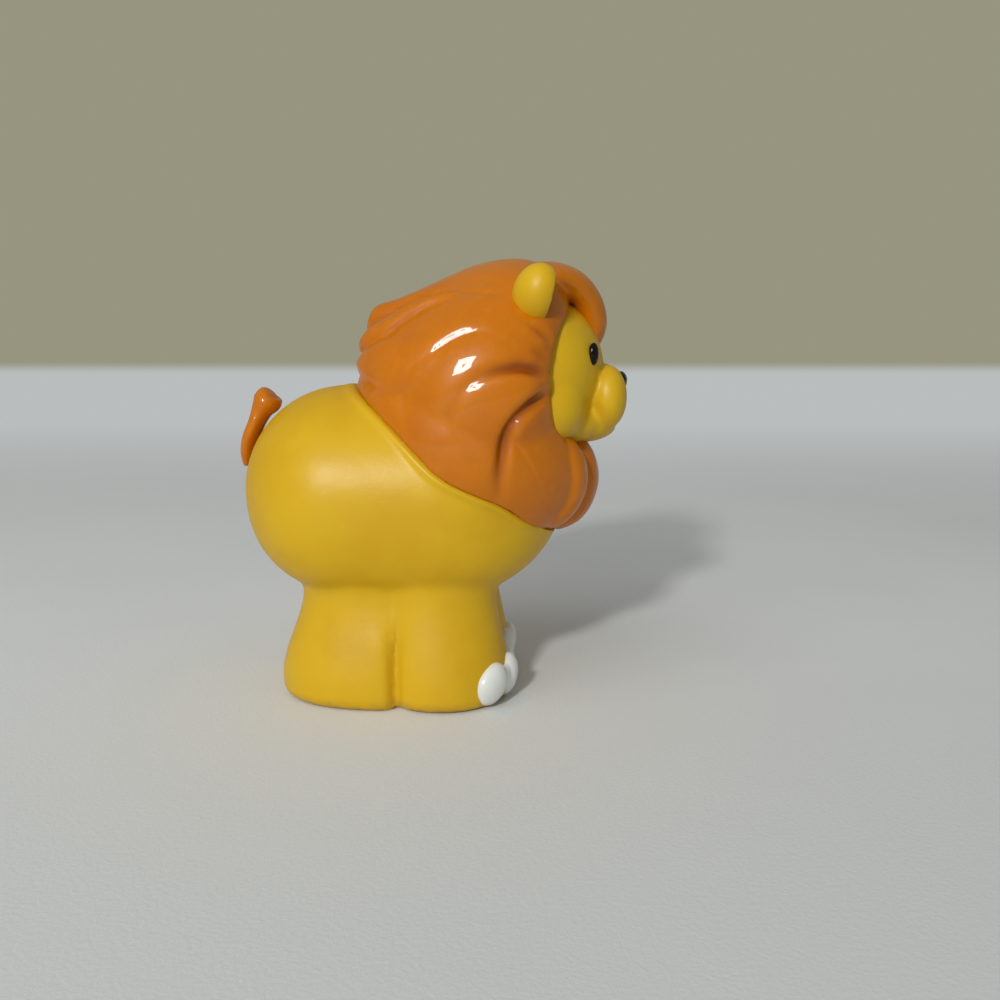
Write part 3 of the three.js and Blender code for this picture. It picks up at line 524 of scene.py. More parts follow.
def intoCollar(place):
    place = place - neck
    tilt = body["neckTilt"]
    forward = place.x * math.cos(tilt) - place.z * math.sin(tilt)
    up = place.x * math.sin(tilt) + place.z * math.cos(tilt) - mane["collarRise"]
    return Vector((forward / mane["collarRadius"], place.y / mane["collarRadius"], up / mane["collarHeight"]))


def skinPoint(along, angle):
    # the ball of the mane or the swelling over the neck seam, whichever lies further out
    point = manePoint(along, angle)
    rise = blendShares(maneStations, along)[0]
    axis = Vector((point.x, 0, maneZ + rise * mane["height"]))
    start = intoCollar(axis)
    step = intoCollar(point) - start
    if step.length_squared < 1e-9:
        return point
    half = start.dot(step) / step.length_squared
    root = half ** 2 - (start.length_squared - 1) / step.length_squared
    reach = math.sqrt(root) - half if root > 0 else 0
    return axis.lerp(point, reach) if reach > 1 else point


def layLock(name, rows, side, steps=56, across=28):
    # a crested band laid on the mane's skin along its route, its rings placed one by one
    middles = []
    spots = []
    for step in range(steps + 1):
        along, degrees, width, lift = routePoint(rows, step / steps)
        angle = side * rad(degrees)
        spots.append((along, angle, max(width, mane["thinnest"]) * mane["width"], lift * mane["lift"]))
        middles.append(skinPoint(along, angle))
    points = []
    small = 0.01  # step in share and radians for the skin's slopes
    bend = mane["width"] / 2
    for step, (along, angle, halfWidth, lift) in enumerate(spots):
        ahead = skinPoint(along + small, angle) - skinPoint(along - small, angle)
        aside = skinPoint(along, angle + small) - skinPoint(along, angle - small)
        out = aside.cross(ahead).normalized()
        heading = middles[min(steps, step + 1)] - middles[max(0, step - 1)]
        sideways = out.cross(heading).normalized()
        for part in range(across):
            swing = 2 * math.pi * part / across
            share = math.cos(swing)
            if math.sin(swing) >= -1e-6:
                crest = (1 - abs(share) ** mane["crest"]) ** 0.5
                raised = (lift + mane["sink"]) * crest - mane["sink"]
            else:
                share *= mane["tuck"]
                raised = -mane["depth"]
            lean = share * halfWidth / bend
            points.append(middles[step] + sideways * ((bend + raised) * math.sin(lean))
                          + out * ((bend + raised) * math.cos(lean) - bend))
    faces = []
    for low in range(0, steps * across, across):
        for part in range(across):
            after = (part + 1) % across
            faces.append((low + part, low + after, low + across + after, low + across + part))
    faces.append(tuple(range(across - 1, -1, -1)))
    faces.append(tuple(steps * across + part for part in range(across)))
    mesh = bpy.data.meshes.new(name)
    mesh.from_pydata([tuple(point * mm) for point in points], [], faces)
    piece = bpy.data.objects.new(name, mesh)
    bpy.context.collection.objects.link(piece)
    pick(piece)
    openMesh()
    closeSound()
    return piece


# free locks: forward and down as shares of run and drop, sideways and half width as shares of the
# face's half width, then the half thickness as a share of the lift
freeLocks = {
    "beard": {"from": (head.x + 1.5, 0, head.z - 12.6), "run": 7, "drop": 15.5, "lift": 2.7, "rows": [
        [0.55, -0.1, 0, 0.3, 0.6], [0.86, 0.18, 0, 0.36, 0.85], [0.9, 0.45, 0, 0.38, 1],
        [0.62, 0.74, 0, 0.34, 1], [0.1, 0.9, 0, 0.26, 0.7]]},
    "chinLock": {"from": (head.x + 1.5, 0, head.z - 12.6), "run": 7, "drop": 15.5, "lift": 2.7, "rows": [
        [0.05, -0.12, 0.62, 0.2, 0.7], [0.42, 0.12, 0.6, 0.27, 1], [0.5, 0.4, 0.54, 0.29, 1.05],
        [0.25, 0.66, 0.48, 0.28, 1], [-0.2, 0.82, 0.42, 0.22, 0.7]]},
    "forelock": {
        "from": (head.x - 5.5, 0, maneZ + mane["height"] / 2), "run": 15, "drop": 14, "lift": 2.5, "rows": [
            [0, 0.16, 0, 0.62, 0.8], [0.4, 0.12, 0, 0.68, 1.05], [0.7, 0.2, 0, 0.54, 1.1],
            [0.89, 0.4, 0, 0.38, 1.05], [0.97, 0.66, 0, 0.27, 1], [0.95, 0.86, 0, 0.19, 0.8],
            [0.91, 0.95, 0, 0.1, 0.5]]},
}


def freeLock(name, side=1, steps=24):
    lock = freeLocks[name]
    half = body["faceHalfWidth"]
    rows = []
    for step in range(steps + 1):
        forward, down, sideways, width, thick = routePoint(lock["rows"], step / steps)
        move = Vector((forward * lock["run"], side * sideways * half, -down * lock["drop"]))
        rows.append((Vector(lock["from"]) + move, thick * lock["lift"], width * half))
    return sweepRows(name, rows, 32)


def makeManeSkin():
    steps, sweep, least = mane["skinSteps"], mane["skinSweep"], mane["skinLeast"]
    stations = []
    for step in range(steps + 1):
        along = (1 - math.cos(math.pi * step / steps * sweep)) / (1 - math.cos(math.pi * sweep))
        along = max(along, mane["skinStart"])
        rise, halfWidth, halfHeight = blendShares(maneStations, along)
        centre = (maneBack + along * mane["length"], 0, maneZ + rise * mane["height"])
        stations.append((centre, rad(90), max(halfHeight, least) * mane["height"],
                         max(halfWidth, least) * mane["width"]))
    return sweepRing("maneSkin", stations, 96)


def turnRimIn(skin, opening):
    # rounds the rim inwards where it meets the face
    places = readPlaces(skin)
    depth = np.hypot(places[:, 0] - opening.x, places[:, 2] - opening.z) - mane["rimCurve"]
    pull = 1 - mane["rimPull"] * np.clip(1 - depth / mane["rimRound"], 0, 1) ** 2
    places[:, 1] *= pull
    places[:, 2] = maneZ + (places[:, 2] - maneZ) * pull
    writePlaces(skin, places)


def hangHem(piece):
    # lets the mane's lower edge sag between its front and back, and keeps its sides off the body
    places = readPlaces(piece)
    above, along = seamPlaces(places)
    drop = hemBow(along) * easeIn(1 - above / hem["height"])
    places -= drop[:, None] * np.array(seamNormal)[None]
    out = np.abs(places[:, 1])
    lack = barrelHalf(places[:, 0], places[:, 2]) + hem["clear"] - out
    push = np.where(lack > hem["soft"], lack, np.maximum(lack + hem["soft"], 0) ** 2 / (4 * hem["soft"]))
    push *= easeIn((out - hem["sideFrom"]) / hem["sideRun"])
    push *= 1 - easeIn((lack - hem["pushMost"]) / hem["pushFade"])
    push *= easeIn(hem["pushHeight"] - above / hem["height"])
    places[:, 1] += np.sign(places[:, 1]) * push
    writePlaces(piece, places)


def keepWidth(piece):
    # eases the widest part of the flanks back to the mould's width
    places = readPlaces(piece)
    out = np.abs(places[:, 1])
    eased = mane["flank"] + mane["ease"] * (1 - np.exp(-(out - mane["flank"]) / mane["ease"]))
    places[:, 1] = np.sign(places[:, 1]) * np.where(out > mane["flank"], eased, out)
    writePlaces(piece, places)


def tracedCreases(steps=80):
    lines = []
    for crease in creases.values():
        route = [routePoint(crease["rows"], step / steps) for step in range(steps + 1)]
        path = [skinPoint(along, rad(degrees)) for along, degrees, _ in route]
        lines.append({**crease, "path": path, "strength": [max(row[2], 0) for row in route]})
    return lines


def makeMane():
    # the mane's ball and a collar over the neck seam, then the locks laid on them
    radius, height = mane["collarRadius"], mane["collarHeight"]
    collar = addBall("collar", (0, 0, mane["collarRise"]), (radius, radius, height), 96, 48)
    openMesh()
    turn(body["neckTilt"], "Y")
    shift(*neck)
    closeMesh()
    skin = soften(fuse(joinPieces("lionMane", [makeManeSkin(), collar]), mane["voxel"]), mane["skinRounds"])
    locks = [layLock(name, rows, side) for name, rows in sideLocks.items() for side in (1, -1)]
    locks.append(layLock("crown", crownLock, 1))
    skin = fuse(joinPieces("lionMane", [skin] + locks), mane["voxel"])
    # a round opening for the face, its rim turned in and softened
    opening = Vector((neck.x + mane["rimForward"] + mane["rimCurve"], 0, neck.z + mane["rimRise"]))
    nothingSelected()
    bpy.ops.mesh.primitive_cylinder_add(vertices=160, radius=mane["rimCurve"] * mm, depth=0.12)
    cutter = startPiece("faceOpening")
    turn(rad(90), "X")
    shift(*opening)
    closeMesh()
    fuse(cutAway(skin, cutter), mane["voxel"])
    turnRimIn(skin, opening)
    softenWhere(skin, mane["rimRounds"], lambda place: 1 - abs(
        math.hypot(place.x - opening.x, place.z - opening.z) - mane["rimCurve"]) / mane["rimRound"])
    # the free locks, the flat foot, then creases and hem
    free = [freeLock("beard"), freeLock("forelock"), freeLock("chinLock", 1), freeLock("chinLock", -1)]
    piece = fuse(joinPieces("lionMane", [skin] + free), mane["voxel"])
    cutFlat(piece, neck + seamNormal * mane["hemGap"], -seamNormal)
    soften(fuse(piece, mane["voxel"]), mane["softRounds"])
    pressLines(piece, tracedCreases())
    keepWidth(piece)
    hangHem(piece)
    soften(piece, mane["lastRounds"])
    return smoothShade(piece)


lionMane = makeMane()


print("head")
face = {
    "depth": 11, "halfHeight": 12.6, "cutBehind": 7,
    "cheek": {"forward": 0.8, "spread": 9.2, "drop": 5.6, "radii": (6.5, 6.5, 6.5)},
    "jaw": {"forward": 4, "spread": 5.4, "drop": 8.8, "radii": (6, 4.6, 3.5)},
    "muzzle": {"forward": 11.3, "spread": 4.1, "drop": 4.5, "radii": (3.4, 4.9, 5.5)},
    "chin": {"forward": 6.9, "spread": 0, "drop": 9.6, "radii": (6.5, 7.5, 3)},
    "under": {"place": (8.6, 6.6, -8.8), "core": 1.5, "reach": 2.9, "rounds": 70},
    "voxel": 0.3, "cheekRounds": 40, "muzzleRounds": 20,
}


def sided(name, side):
    return name + ("Left" if side > 0 else "Right")


def fromHead(forward, sideways, up):
    return tuple(head + Vector((forward, sideways, up)))


def headBall(name, side=1):
    spec = face[name]
    return addBall(name, fromHead(spec["forward"], side * spec["spread"], -spec["drop"]), spec["radii"])


def makeHead():
    parts = [addBall("face", head, (face["depth"], body["faceHalfWidth"], face["halfHeight"]))]
    parts += [headBall(name, side) for side in (-1, 1) for name in ("cheek", "jaw")]
    skin = soften(fuse(joinPieces("face", parts), face["voxel"]), face["cheekRounds"])
    lobes = [headBall("muzzle", side) for side in (-1, 1)]
    muzzle, under = face["muzzle"], face["under"]
    chin = headBall("chin")
    depth, _, height = muzzle["radii"]
    bridge = addBall("bridge", fromHead(muzzle["forward"] - depth / 2, 0, -muzzle["drop"]),
                     (depth, muzzle["spread"], height))
    piece = fuse(joinPieces("lionHead", [skin, chin, bridge] + lobes), face["voxel"])
    soften(piece, face["muzzleRounds"])
    # the creases under the muzzle's lobes are shallow
    middle = Vector(fromHead(*under["place"]))
    softenWhere(piece, under["rounds"], lambda place: under["core"] - (
        Vector((place.x, abs(place.y), place.z)) - middle).length / under["reach"])
    cutFlat(piece, Vector((head.x - face["cutBehind"], 0, 0)), Vector((-1, 0, 0)))
    return smoothShade(piece)


lionHead = makeHead()


print("eyes, nose, ears")
eye = {"forward": 8.45, "spread": 9.35, "rise": 2.9, "radii": (0.8, 1.1, 1.85), "turn": rad(32)}
nose = {"forward": 14.05, "drop": 1.9, "radii": (1.15, 2.6, 1.6), "narrow": 0.8, "lower": 1.1}
ear = {"place": (17.3, 14.4, 68.4), "tilt": rad(38), "lean": rad(15), "radii": (3.8, 4.2, 5.2), "front": 0.5,
       "rim": 0.9, "cup": 2.4, "closing": 0.3, "cupRings": (0.25, 0.6, 0.9, 1), "voxel": 0.25, "rounds": 4}


def makeEye(side):
    place = fromHead(eye["forward"], side * eye["spread"], eye["rise"])
    piece = addBall(sided("eye", side), place, eye["radii"], 40, 24)
    openMesh()
    turn(side * eye["turn"], "Z", place)
    closeMesh()
    return smoothShade(piece)


def makeNose():
    # a ball whose lower half is narrower and hangs lower
    place = Vector(fromHead(nose["forward"], 0, -nose["drop"]))
    piece = addBall("lionNose", place, nose["radii"], 48, 28)
    openMesh()
    selectWhere(piece, lambda spot: spot.z < place.z - 0.1)
    stretch(1, nose["narrow"], nose["lower"], tuple(place))
    closeMesh()
    return smoothShade(piece)


def makeEar(side):
    # a ball cut flat in front, then hollowed ring by ring
    x, y, z = ear["place"]
    piece = addBall(sided("ear", side), (0, 0, 0), ear["radii"], rings=40)
    front = ear["radii"][0] * ear["front"]
    cutFlat(piece, Vector((front, 0, 0)), (1, 0, 0))
    openMesh()
    selectParts("FACE", piece.data.polygons,
                lambda flat: flat.normal.x > 0.99 and flat.center.x > 0.98 * front * mm)
    bpy.ops.mesh.inset(thickness=ear["rim"] * mm)
    for depth in ear["cupRings"]:
        extrude((-ear["cup"] * mm / len(ear["cupRings"]), 0, 0))
        stretch(1, 1 - ear["closing"] * depth, 1 - ear["closing"] * depth)
    bpy.ops.mesh.select_all(action="SELECT")
    turn(ear["lean"], "Y")
    turn(-side * ear["tilt"], "X")
    shift(x, side * y, z)
    closeMesh()
    return smoothShade(soften(fuse(piece, ear["voxel"]), ear["rounds"]))


eyes = {side: makeEye(side) for side in (-1, 1)}
lionNose = makeNose()
ears = {side: makeEar(side) for side in (-1, 1)}


print("tail and toes")
# the tail's rows: back and down as shares of run and drop, then shares of its width and thickness
tail = {"from": (rumpX - 13.7, 0, barrelZ + 15.2), "run": -4.4, "drop": 11.6, "width": 3.3, "thick": 1.9,
        "steps": 28, "voxel": 0.22, "rounds": 9, "rows": [
            [-0.1, -0.12, 0.5, 0.6], [-0.02, -0.08, 0.85, 1.1], [0.07, 0.02, 1, 1.3], [0.3, 0.16, 0.9, 0.95],
            [0.52, 0.34, 0.98, 0.75], [0.8, 0.58, 0.95, 0.72], [0.95, 0.8, 0.66, 0.6], [1, 1, 0.25, 0.3]]}
toe = {"height": 7.6, "width": 5.8, "depth": 2.2, "rise": 0.3, "lean": 0.6, "spacing": 0.88, "turn": rad(8),
       "outer": 1.15, "taper": 0.2, "tuck": rad(9), "web": (0.72, 0.8, 0.66),
       "tips": [rad(24), rad(8), rad(-8)], "voxel": 0.2, "rounds": 4}


def makeTail():
    rows = []
    for step in range(tail["steps"] + 1):
        back, down, width, thick = routePoint(tail["rows"], step / tail["steps"])
        centre = Vector(tail["from"]) + Vector((back * tail["run"], 0, -down * tail["drop"]))
        rows.append((centre, thick * tail["thick"], width * tail["width"]))
    piece = fuse(sweepRows("lionTail", rows, 40), tail["voxel"])
    return smoothShade(soften(piece, tail["rounds"]))


def makeToes(side):
    # three toes side by side with a web between each two, all round the front of the paw
    leg = legs["front"]
    apart = 2 * toe["spacing"] * toe["width"] / (leg["reach"] + leg["girth"] - 2 * toe["lean"])
    tips = toe["tips"]
    lobes = []
    for index in (0, 1, 2, 0.5, 1.5):
        isWeb = index % 1 > 0
        tip = (tips[int(index)] + tips[int(index) + 1]) / 2 if isWeb else tips[index]
        swell = toe["outer"] if index == 0 else 1
        radii = (toe["depth"], toe["width"] / 2 * swell, toe["height"] / 2)
        if isWeb:
            radii = [radius * share for radius, share in zip(radii, toe["web"])]
        angle = (index - 1) * apart - toe["turn"] - (swell - 1) / 2
        forward = (leg["reach"] - toe["lean"]) * math.cos(angle)
        sideways = (leg["girth"] - toe["lean"]) * math.sin(angle)
        lobe = addBall("toe", (0, 0, 0), radii, 48, 32)
        for vertex in lobe.data.vertices:  # narrower towards the top
            vertex.co.y *= 1 - toe["taper"] * max(vertex.co.z / mm / radii[2], 0)
        openMesh()
        turn(side * tip, "X")
        turn(toe["tuck"], "Y")
        turn(-side * angle, "Z")
        shift(leg["x"] + forward, side * (leg["y"] - sideways), toe["rise"] + toe["height"] / 2)
        closeMesh()
        lobes.append(lobe)
    piece = fuse(joinPieces(sided("toes", side), lobes), toe["voxel"])
    return smoothShade(soften(piece, toe["rounds"]))


lionTail = makeTail()
toes = {side: makeToes(side) for side in (-1, 1)}


print("materials")


class Plug:
    # a value in a material; sums and products of plugs become Math nodes
    def __init__(self, paint, socket):
        self.paint = paint
        self.socket = socket

    def maths(self, operation, *values):
        return self.paint.add("ShaderNodeMath", {"operation": operation}, dict(enumerate(values)))

    def __add__(self, other):
        return self.maths("ADD", self, other)

    __radd__ = __add__

    def __sub__(self, other):
        return self.maths("SUBTRACT", self, other)

    def __rsub__(self, other):
        return self.maths("SUBTRACT", other, self)

    def __mul__(self, other):
        return self.maths("MULTIPLY", self, other)

    __rmul__ = __mul__


class Paint:
    # a material, with shortcuts for the nodes that all of them use; sizes are millimetres
    def __init__(self, name, constants):
        self.material = bpy.data.materials.new(name)
        self.material.use_nodes = True
        self.nodes = self.material.node_tree.nodes
        self.shader = self.nodes["Principled BSDF"]
        for socket, value in constants.items():
            self.shader.inputs[socket].default_value = value
        self.place = self.add("ShaderNodeTexCoord", {}, {}, "Object")

    def add(self, kind, settings, sockets, output=0):
        node = self.nodes.new(kind)
        for name, value in settings.items():
            setattr(node, name, value)
        for name, value in sockets.items():
            self.plugIn(node.inputs[name], value)
        return Plug(self, node.outputs[output])

    def plugIn(self, socket, value):
        if isinstance(value, Plug):
            self.material.node_tree.links.new(value.socket, socket)
        else:
            socket.default_value = value

    def noise(self, size, detail=2, place=None):
        return self.add("ShaderNodeTexNoise", {}, {
            "Vector": place or self.place, "Scale": 1 / (size * mm), "Detail": detail, "Roughness": 0.55})

    def between(self, value, low, high):
        # 0 at low and 1 at high, with soft ends
        return self.add("ShaderNodeMapRange", {"interpolation_type": "SMOOTHSTEP"},
                        {"Value": value, "From Min": low, "From Max": high})

    def patches(self, size, detail, low, high):
        return self.between(self.noise(size, detail), low, high)

    def blend(self, share, first, second):
        return self.add("ShaderNodeMix", {"data_type": "RGBA"}, {0: share, 6: first, 7: second}, 2)

    def attribute(self, name):
        return self.add("ShaderNodeAttribute", {"attribute_name": name}, {}, "Fac")

    def axis(self, letter):
        return self.add("ShaderNodeSeparateXYZ", {}, {0: self.place}, letter)

    def squeezed(self, x, y, z):
        return self.add("ShaderNodeMapping", {}, {"Vector": self.place, "Scale": (x, y, z)})

    def finish(self, colour, roughness, height, distance):
        bump = self.add("ShaderNodeBump", {}, {"Height": height, "Distance": distance * mm, "Strength": 1})
        self.plugIn(self.shader.inputs["Base Color"], colour)
        self.plugIn(self.shader.inputs["Roughness"], roughness)
        self.plugIn(self.shader.inputs["Normal"], bump)
        return self.material


# patches: size, detail and the noise at which they start and are full; shares: how much each colours
vinyl = {
    "plain": (0.70, 0.425, 0.010, 1), "deep": (0.60, 0.315, 0.005, 1), "pale": (0.76, 0.50, 0.045, 1),
    "lowDark": (0.30, 0.20, 0.06, 1), "roughness": 0.43, "grain": 0.022,
    "cloud": (16, 3, 0.42, 0.68), "speckle": (0.55, 2, 0.58, 0.8), "scuffed": (9, 1, 0.5, 0.62),
    "lowDarkPatches": (1.8, 3, 0.35, 0.7), "lowDarkTop": 2.6, "lowDarkFull": 0.2,
    "shares": {"cloud": 0.45, "speckle": 0.12, "scuff": 0.3, "lowDarkening": 0.45, "crease": 0.35},
}
# crease: the dark red-brown of the creases, partly pooled coat and partly painted shade
gloss = {
    "plain": (0.60, 0.172, 0.001, 1), "deep": (0.50, 0.125, 0.001, 1), "crease": (0.22, 0.030, 0.001, 1),
    "pale": (0.70, 0.25, 0.006, 1), "roughness": 0.38, "peel": 0.05,
    "cloud": (11, 3, 0.4, 0.7), "thin": (2.4, 3, 0.52, 0.75), "speck": (0.5, 2, 0.64, 0.78),
    "shares": {"cloud": 0.5, "thin": 0.22, "poolAndShade": 0.7, "speck": 0.18},
}
enamel = {
    "plain": (0.79, 0.81, 0.77, 1), "nearFloorTone": (0.66, 0.63, 0.53, 1), "roughness": 0.28, "strokes": 0.02,
    "cloud": (2.2, 3, 0.45, 0.75), "nearFloorTop": 2.2, "nearFloorFull": 0.4, "shares": {"cloud": 0.25, "nearFloor": 0.35},
}
jet = {"plain": (0.006, 0.004, 0.003, 1), "worn": (0.03, 0.02, 0.014, 1), "roughness": 0.2, "grain": 0.01,
       "specks": (0.3, 2, 0.62, 0.75), "wornShare": 0.4}


def yellowVinyl():
    # satin moulded vinyl: cloudy colour, fine grain, a few rubbed scuffs, darker in patches where it meets the
    # floor, and painted shade in the leg groove's dent
    paint = Paint("yellowVinyl", {"IOR": 1.46, "Specular IOR Level": 0.27})
    shares = vinyl["shares"]
    cloud = paint.patches(*vinyl["cloud"])
    colour = paint.blend(cloud * shares["cloud"], vinyl["plain"], vinyl["deep"])
    speckle = paint.patches(*vinyl["speckle"])
    colour = paint.blend(speckle * shares["speckle"], colour, vinyl["pale"])
    rubbed = paint.noise(1.1, 4, paint.squeezed(0.25, 1, 1.6))
    scuffs = paint.between(rubbed, 0.66, 0.74) * paint.patches(*vinyl["scuffed"])
    colour = paint.blend(scuffs * shares["scuff"], colour, vinyl["pale"])
    # darker in patches towards the floor
    lowDarkening = paint.between(paint.axis("Z"), vinyl["lowDarkTop"] * mm, vinyl["lowDarkFull"] * mm)
    lowDarkening = lowDarkening * paint.patches(*vinyl["lowDarkPatches"])
    colour = paint.blend(lowDarkening * shares["lowDarkening"], colour, vinyl["lowDark"])
    # painted shade: the leg groove's dent darkened, where shade falls
    colour = paint.blend(paint.attribute("crease") * shares["crease"], colour, vinyl["deep"])
    roughness = vinyl["roughness"] + (cloud - 0.5) * 0.06 + scuffs * 0.12 + speckle * 0.05
    grain = paint.noise(0.28, 3) + paint.noise(1.6, 1) * 0.6 - scuffs * 0.5
    return paint.finish(colour, roughness, grain, vinyl["grain"])


def orangeGloss():
    # thick glossy coat over orange, paler in thin patches: darker in the creases, partly where the coat pools
    # and partly painted shade
    paint = Paint("orangeGloss", {"IOR": 1.45, "Coat Weight": 0.4, "Coat Roughness": 0.035, "Coat IOR": 1.5,
                                  "Specular IOR Level": 0.15})
    shares = gloss["shares"]
    cloud = paint.patches(*gloss["cloud"])
    colour = paint.blend(cloud * shares["cloud"], gloss["plain"], gloss["deep"])
    colour = paint.blend(paint.patches(*gloss["thin"]) * shares["thin"], colour, gloss["pale"])
    # painted shade in the creases, mixed with the coat pooling darker there
    poolAndShade = paint.between(paint.attribute("crease"), 0.05, 1)
    colour = paint.blend(poolAndShade * shares["poolAndShade"], colour, gloss["crease"])
    colour = paint.blend(paint.patches(*gloss["speck"]) * shares["speck"], colour, gloss["deep"])
    roughness = gloss["roughness"] + cloud * 0.05 + poolAndShade * 0.06
    peel = paint.noise(2.6, 1) + paint.noise(0.9, 2) * 0.25
    return paint.finish(colour, roughness, peel, gloss["peel"])


def whiteEnamel():
    # brushed enamel: slightly uneven, and darker and yellower towards the floor
    paint = Paint("whiteEnamel", {"IOR": 1.5, "Coat Weight": 0.5, "Coat Roughness": 0.12})
    cloud = paint.patches(*enamel["cloud"])
    nearFloor = paint.between(paint.axis("Z"), enamel["nearFloorTop"] * mm, enamel["nearFloorFull"] * mm)
    share = cloud * enamel["shares"]["cloud"] + nearFloor * enamel["shares"]["nearFloor"]
    colour = paint.blend(share, enamel["plain"], enamel["nearFloorTone"])
    strokes = paint.noise(0.5, 2, paint.squeezed(1, 1, 0.3))
    return paint.finish(colour, enamel["roughness"] + cloud * 0.1, strokes, enamel["strokes"])


def blackGloss():
    # deep glossy black with faint rubbed specks
    paint = Paint("blackGloss", {"IOR": 1.45, "Coat Weight": 0.3, "Coat Roughness": 0.04,
                                 "Specular IOR Level": 0.1})
    specks = paint.patches(*jet["specks"])
    colour = paint.blend(specks * jet["wornShare"], jet["plain"], jet["worn"])
    return paint.finish(colour, jet["roughness"] + specks * 0.2, paint.noise(0.8, 1), jet["grain"])


# each slot's material and the CAD nodes that its pieces stand for
dressing = {
    "body_yellow": (yellowVinyl(), {"body_shell": lionBody, "base_plug": footStopper, "head": lionHead,
                                    "ear_left": ears[1], "ear_right": ears[-1]}),
    "mane_orange": (orangeGloss(), {"mane": lionMane, "tail": lionTail}),
    "eye_black": (blackGloss(), {"nose": lionNose, "eye_left": eyes[1], "eye_right": eyes[-1]}),
    "toe_white": (whiteEnamel(), {"toes_front_left": toes[1], "toes_front_right": toes[-1]}),
}
for slot, (material, pieces) in dressing.items():
    for node, piece in pieces.items():
        piece.data.materials.clear()
        piece.data.materials.append(material)
        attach(piece, "root")
        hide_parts(node)
        print(piece.name, len(piece.data.polygons))


print("stage, light and camera")
stage = {"width": 6, "front": -1.2, "back": 1.0, "curve": 0.04, "curveSteps": 12, "top": 1.6,
         "floor": (0.79, 0.80, 0.775, 1), "cloud": (90, 3, 0.35, 0.7), "dulled": 0.93,
         "near": (0.62, 0.64, 0.62, 1), "nearShadeFrom": 0.06, "nearShadeFull": -0.12,
         "far": (0.49, 0.51, 0.51, 1), "wall": (0.31, 0.30, 0.215, 1), "wallFrom": 0.004, "wallFull": 0.02,
         "farFrom": 0.08, "farFull": 0.5}
toyMiddle = Vector((0, 0, 0.045))
window = {"distance": 0.7, "turn": rad(-111), "rise": rad(24.5), "width": 0.17, "height": 0.2, "dark": 0.22,
          "power": 5.2}
key = {"distance": 0.72, "turn": rad(-108), "rise": rad(27), "size": 0.065, "power": 2.7}
sky = {"place": (-0.4, -0.55, 0.95), "size": 0.8, "power": 2.6}
air = {"colour": (0.95, 0.97, 1, 1), "strength": 0.27}
view = {"lens": 36, "sensor_width": 36, "clip_start": 0.001}
viewPlace, viewTilt = (0.0116, -0.175, 0.0638), rad(80)


def makeStage():
    # a sheet of paper on the floor that curves up into the backdrop
    front, back, curve, steps = (stage[name] for name in ("front", "back", "curve", "curveSteps"))
    nothingSelected()
    bpy.ops.mesh.primitive_plane_add(size=1)
    paper = startPiece("floor")
    stretch(stage["width"], back - front, 1)
    bpy.ops.transform.translate(value=(0, (back + front) / 2, 0))
    selectParts("EDGE", paper.data.edges,
                lambda edge: all(paper.data.vertices[index].co.y > back - 0.01 for index in edge.vertices))
    for step in range(steps):
        first, second = (rad(90 * part / steps) for part in (step, step + 1))
        forward = curve * (math.sin(second) - math.sin(first))
        extrude((0, forward, curve * (math.cos(first) - math.cos(second))))
    extrude((0, 0, stage["top"] - curve))
    closeSound()
    return smoothShade(paper)


def paperMaterial():
    # lit paper near the toy, with painted shade darkening it towards the front; far off, the plain sheet and
    # wall as the eye and the gloss see them
    paint = Paint("palePaper", {"IOR": 1.4, "Specular IOR Level": 0.2})
    cloud = paint.patches(*stage["cloud"])
    dull = tuple(value * stage["dulled"] for value in stage["floor"][:3]) + (1,)
    colour = paint.blend(cloud * 0.5, stage["floor"], dull)
    # painted shade: the paper darker towards the front
    nearShade = paint.between(paint.axis("Y"), stage["nearShadeFrom"], stage["nearShadeFull"])
    colour = paint.blend(nearShade, colour, stage["near"])
    weave = paint.noise(0.7, 2) + paint.noise(30, 2) * 2
    material = paint.finish(colour, 0.85 + cloud * 0.1, weave, 0.06)
    upOnWall = paint.between(paint.axis("Z"), stage["wallFrom"], stage["wallFull"])
    distant = paint.blend(upOnWall, stage["far"], stage["wall"])
    glow = paint.add("ShaderNodeEmission", {}, {"Color": distant, "Strength": 1})
    seen = paint.add("ShaderNodeLightPath", {}, {}, "Is Camera Ray")
    for ray in ("Is Glossy Ray", "Is Transmission Ray"):
        seen = seen + paint.add("ShaderNodeLightPath", {}, {}, ray)
    share = seen * paint.between(paint.axis("Y"), stage["farFrom"], stage["farFull"])
    mixed = paint.add("ShaderNodeMixShader", {}, {0: share, 2: glow})
    material.node_tree.links.new(paint.shader.outputs[0], mixed.socket.node.inputs[1])
    paint.plugIn(paint.nodes["Material Output"].inputs["Surface"], mixed)
    return material


floor = makeStage()
floor.data.materials.append(paperMaterial())

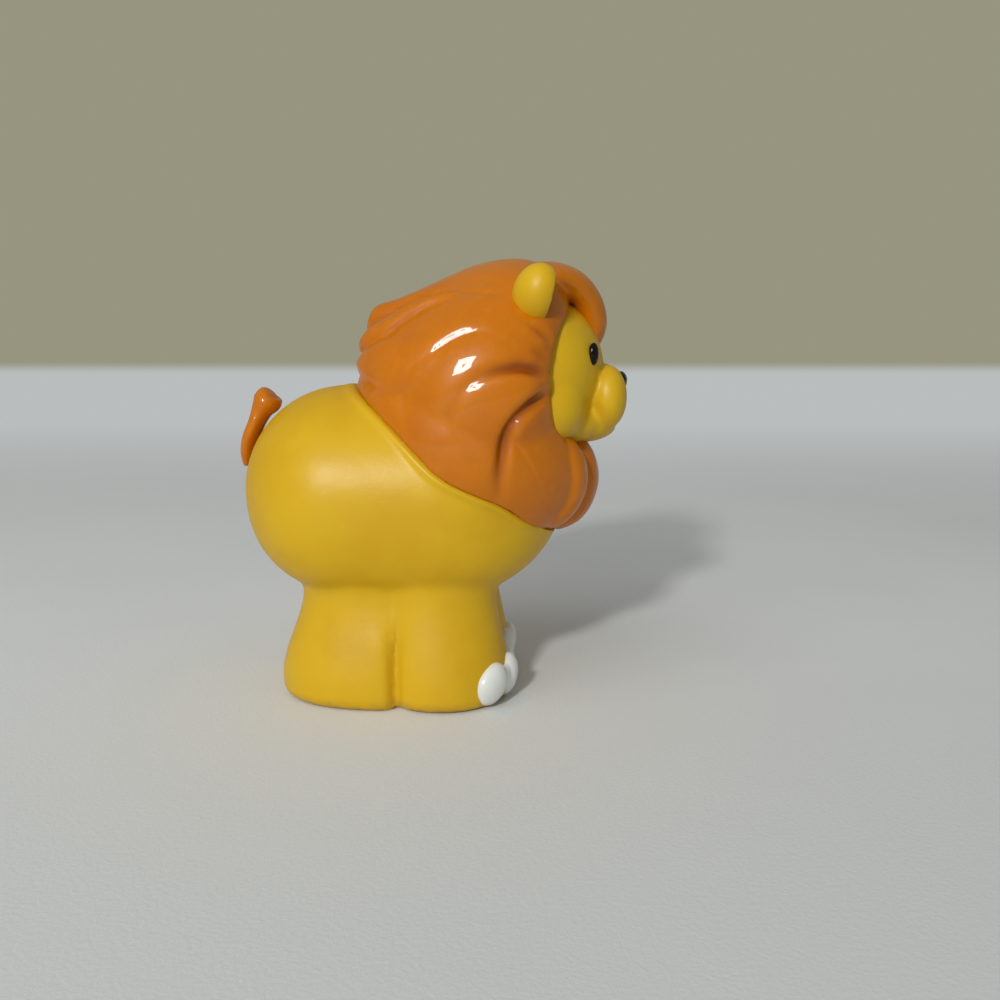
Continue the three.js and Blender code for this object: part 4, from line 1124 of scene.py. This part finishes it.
world = bpy.data.worlds.new("softWorld")
bpy.context.scene.world = world
world.use_nodes = True
background = world.node_tree.nodes["Background"]
background.inputs["Color"].default_value = air["colour"]
background.inputs["Strength"].default_value = air["strength"]


def addLight(name, place, target, width, height, power):
    light = bpy.data.lights.new(name, "AREA")
    light.energy = power
    light.shape = "RECTANGLE"
    light.size = width
    light.size_y = height
    lamp = bpy.data.objects.new(name, light)
    lamp.location = place
    lamp.rotation_euler = (Vector(target) - Vector(place)).to_track_quat("-Z", "Y").to_euler()
    bpy.context.collection.objects.link(lamp)
    return lamp


def towards(lamp):
    level = math.cos(lamp["rise"])
    return Vector((level * math.cos(lamp["turn"]), level * math.sin(lamp["turn"]), math.sin(lamp["rise"])))


def lightWindow():
    # four bright panes round a dark middle, which only the gloss sees
    toward = towards(window)
    right = toward.cross(Vector((0, 0, 1))).normalized()
    up = right.cross(toward)
    width, height, dark = window["width"], window["height"], window["dark"]
    band = (1 - dark) / 2
    spread = (1 + dark) / 4
    for number, (across, along, wide, high) in enumerate(
            [(-1, 0, band, 1), (1, 0, band, 1), (0, -1, dark, band), (0, 1, dark, band)]):
        middle = toyMiddle + toward * window["distance"]
        middle = middle + right * (across * width * spread) + up * (along * height * spread)
        power = window["power"] * wide * high / (1 - dark * dark)
        pane = addLight(f"window{number}", middle, middle - toward, wide * width, high * height, power)
        pane.visible_diffuse = False


lightWindow()
# the lamps that light the toy leave the gloss to the window
lamps = {"keyLight": (key, toyMiddle + towards(key) * key["distance"], toyMiddle),
         "skylight": (sky, sky["place"], (0, 0, 0))}
for name, (lamp, place, target) in lamps.items():
    light = addLight(name, place, target, lamp["size"], lamp["size"], lamp["power"])
    light.visible_glossy = False

cameraData = bpy.data.cameras.new("camera")
for name, value in view.items():
    setattr(cameraData, name, value)
camera = bpy.data.objects.new("camera", cameraData)
camera.location = viewPlace
camera.rotation_euler = (viewTilt, 0, 0)
bpy.context.collection.objects.link(camera)
bpy.context.scene.camera = camera
bpy.context.scene.view_settings.view_transform = "Standard"
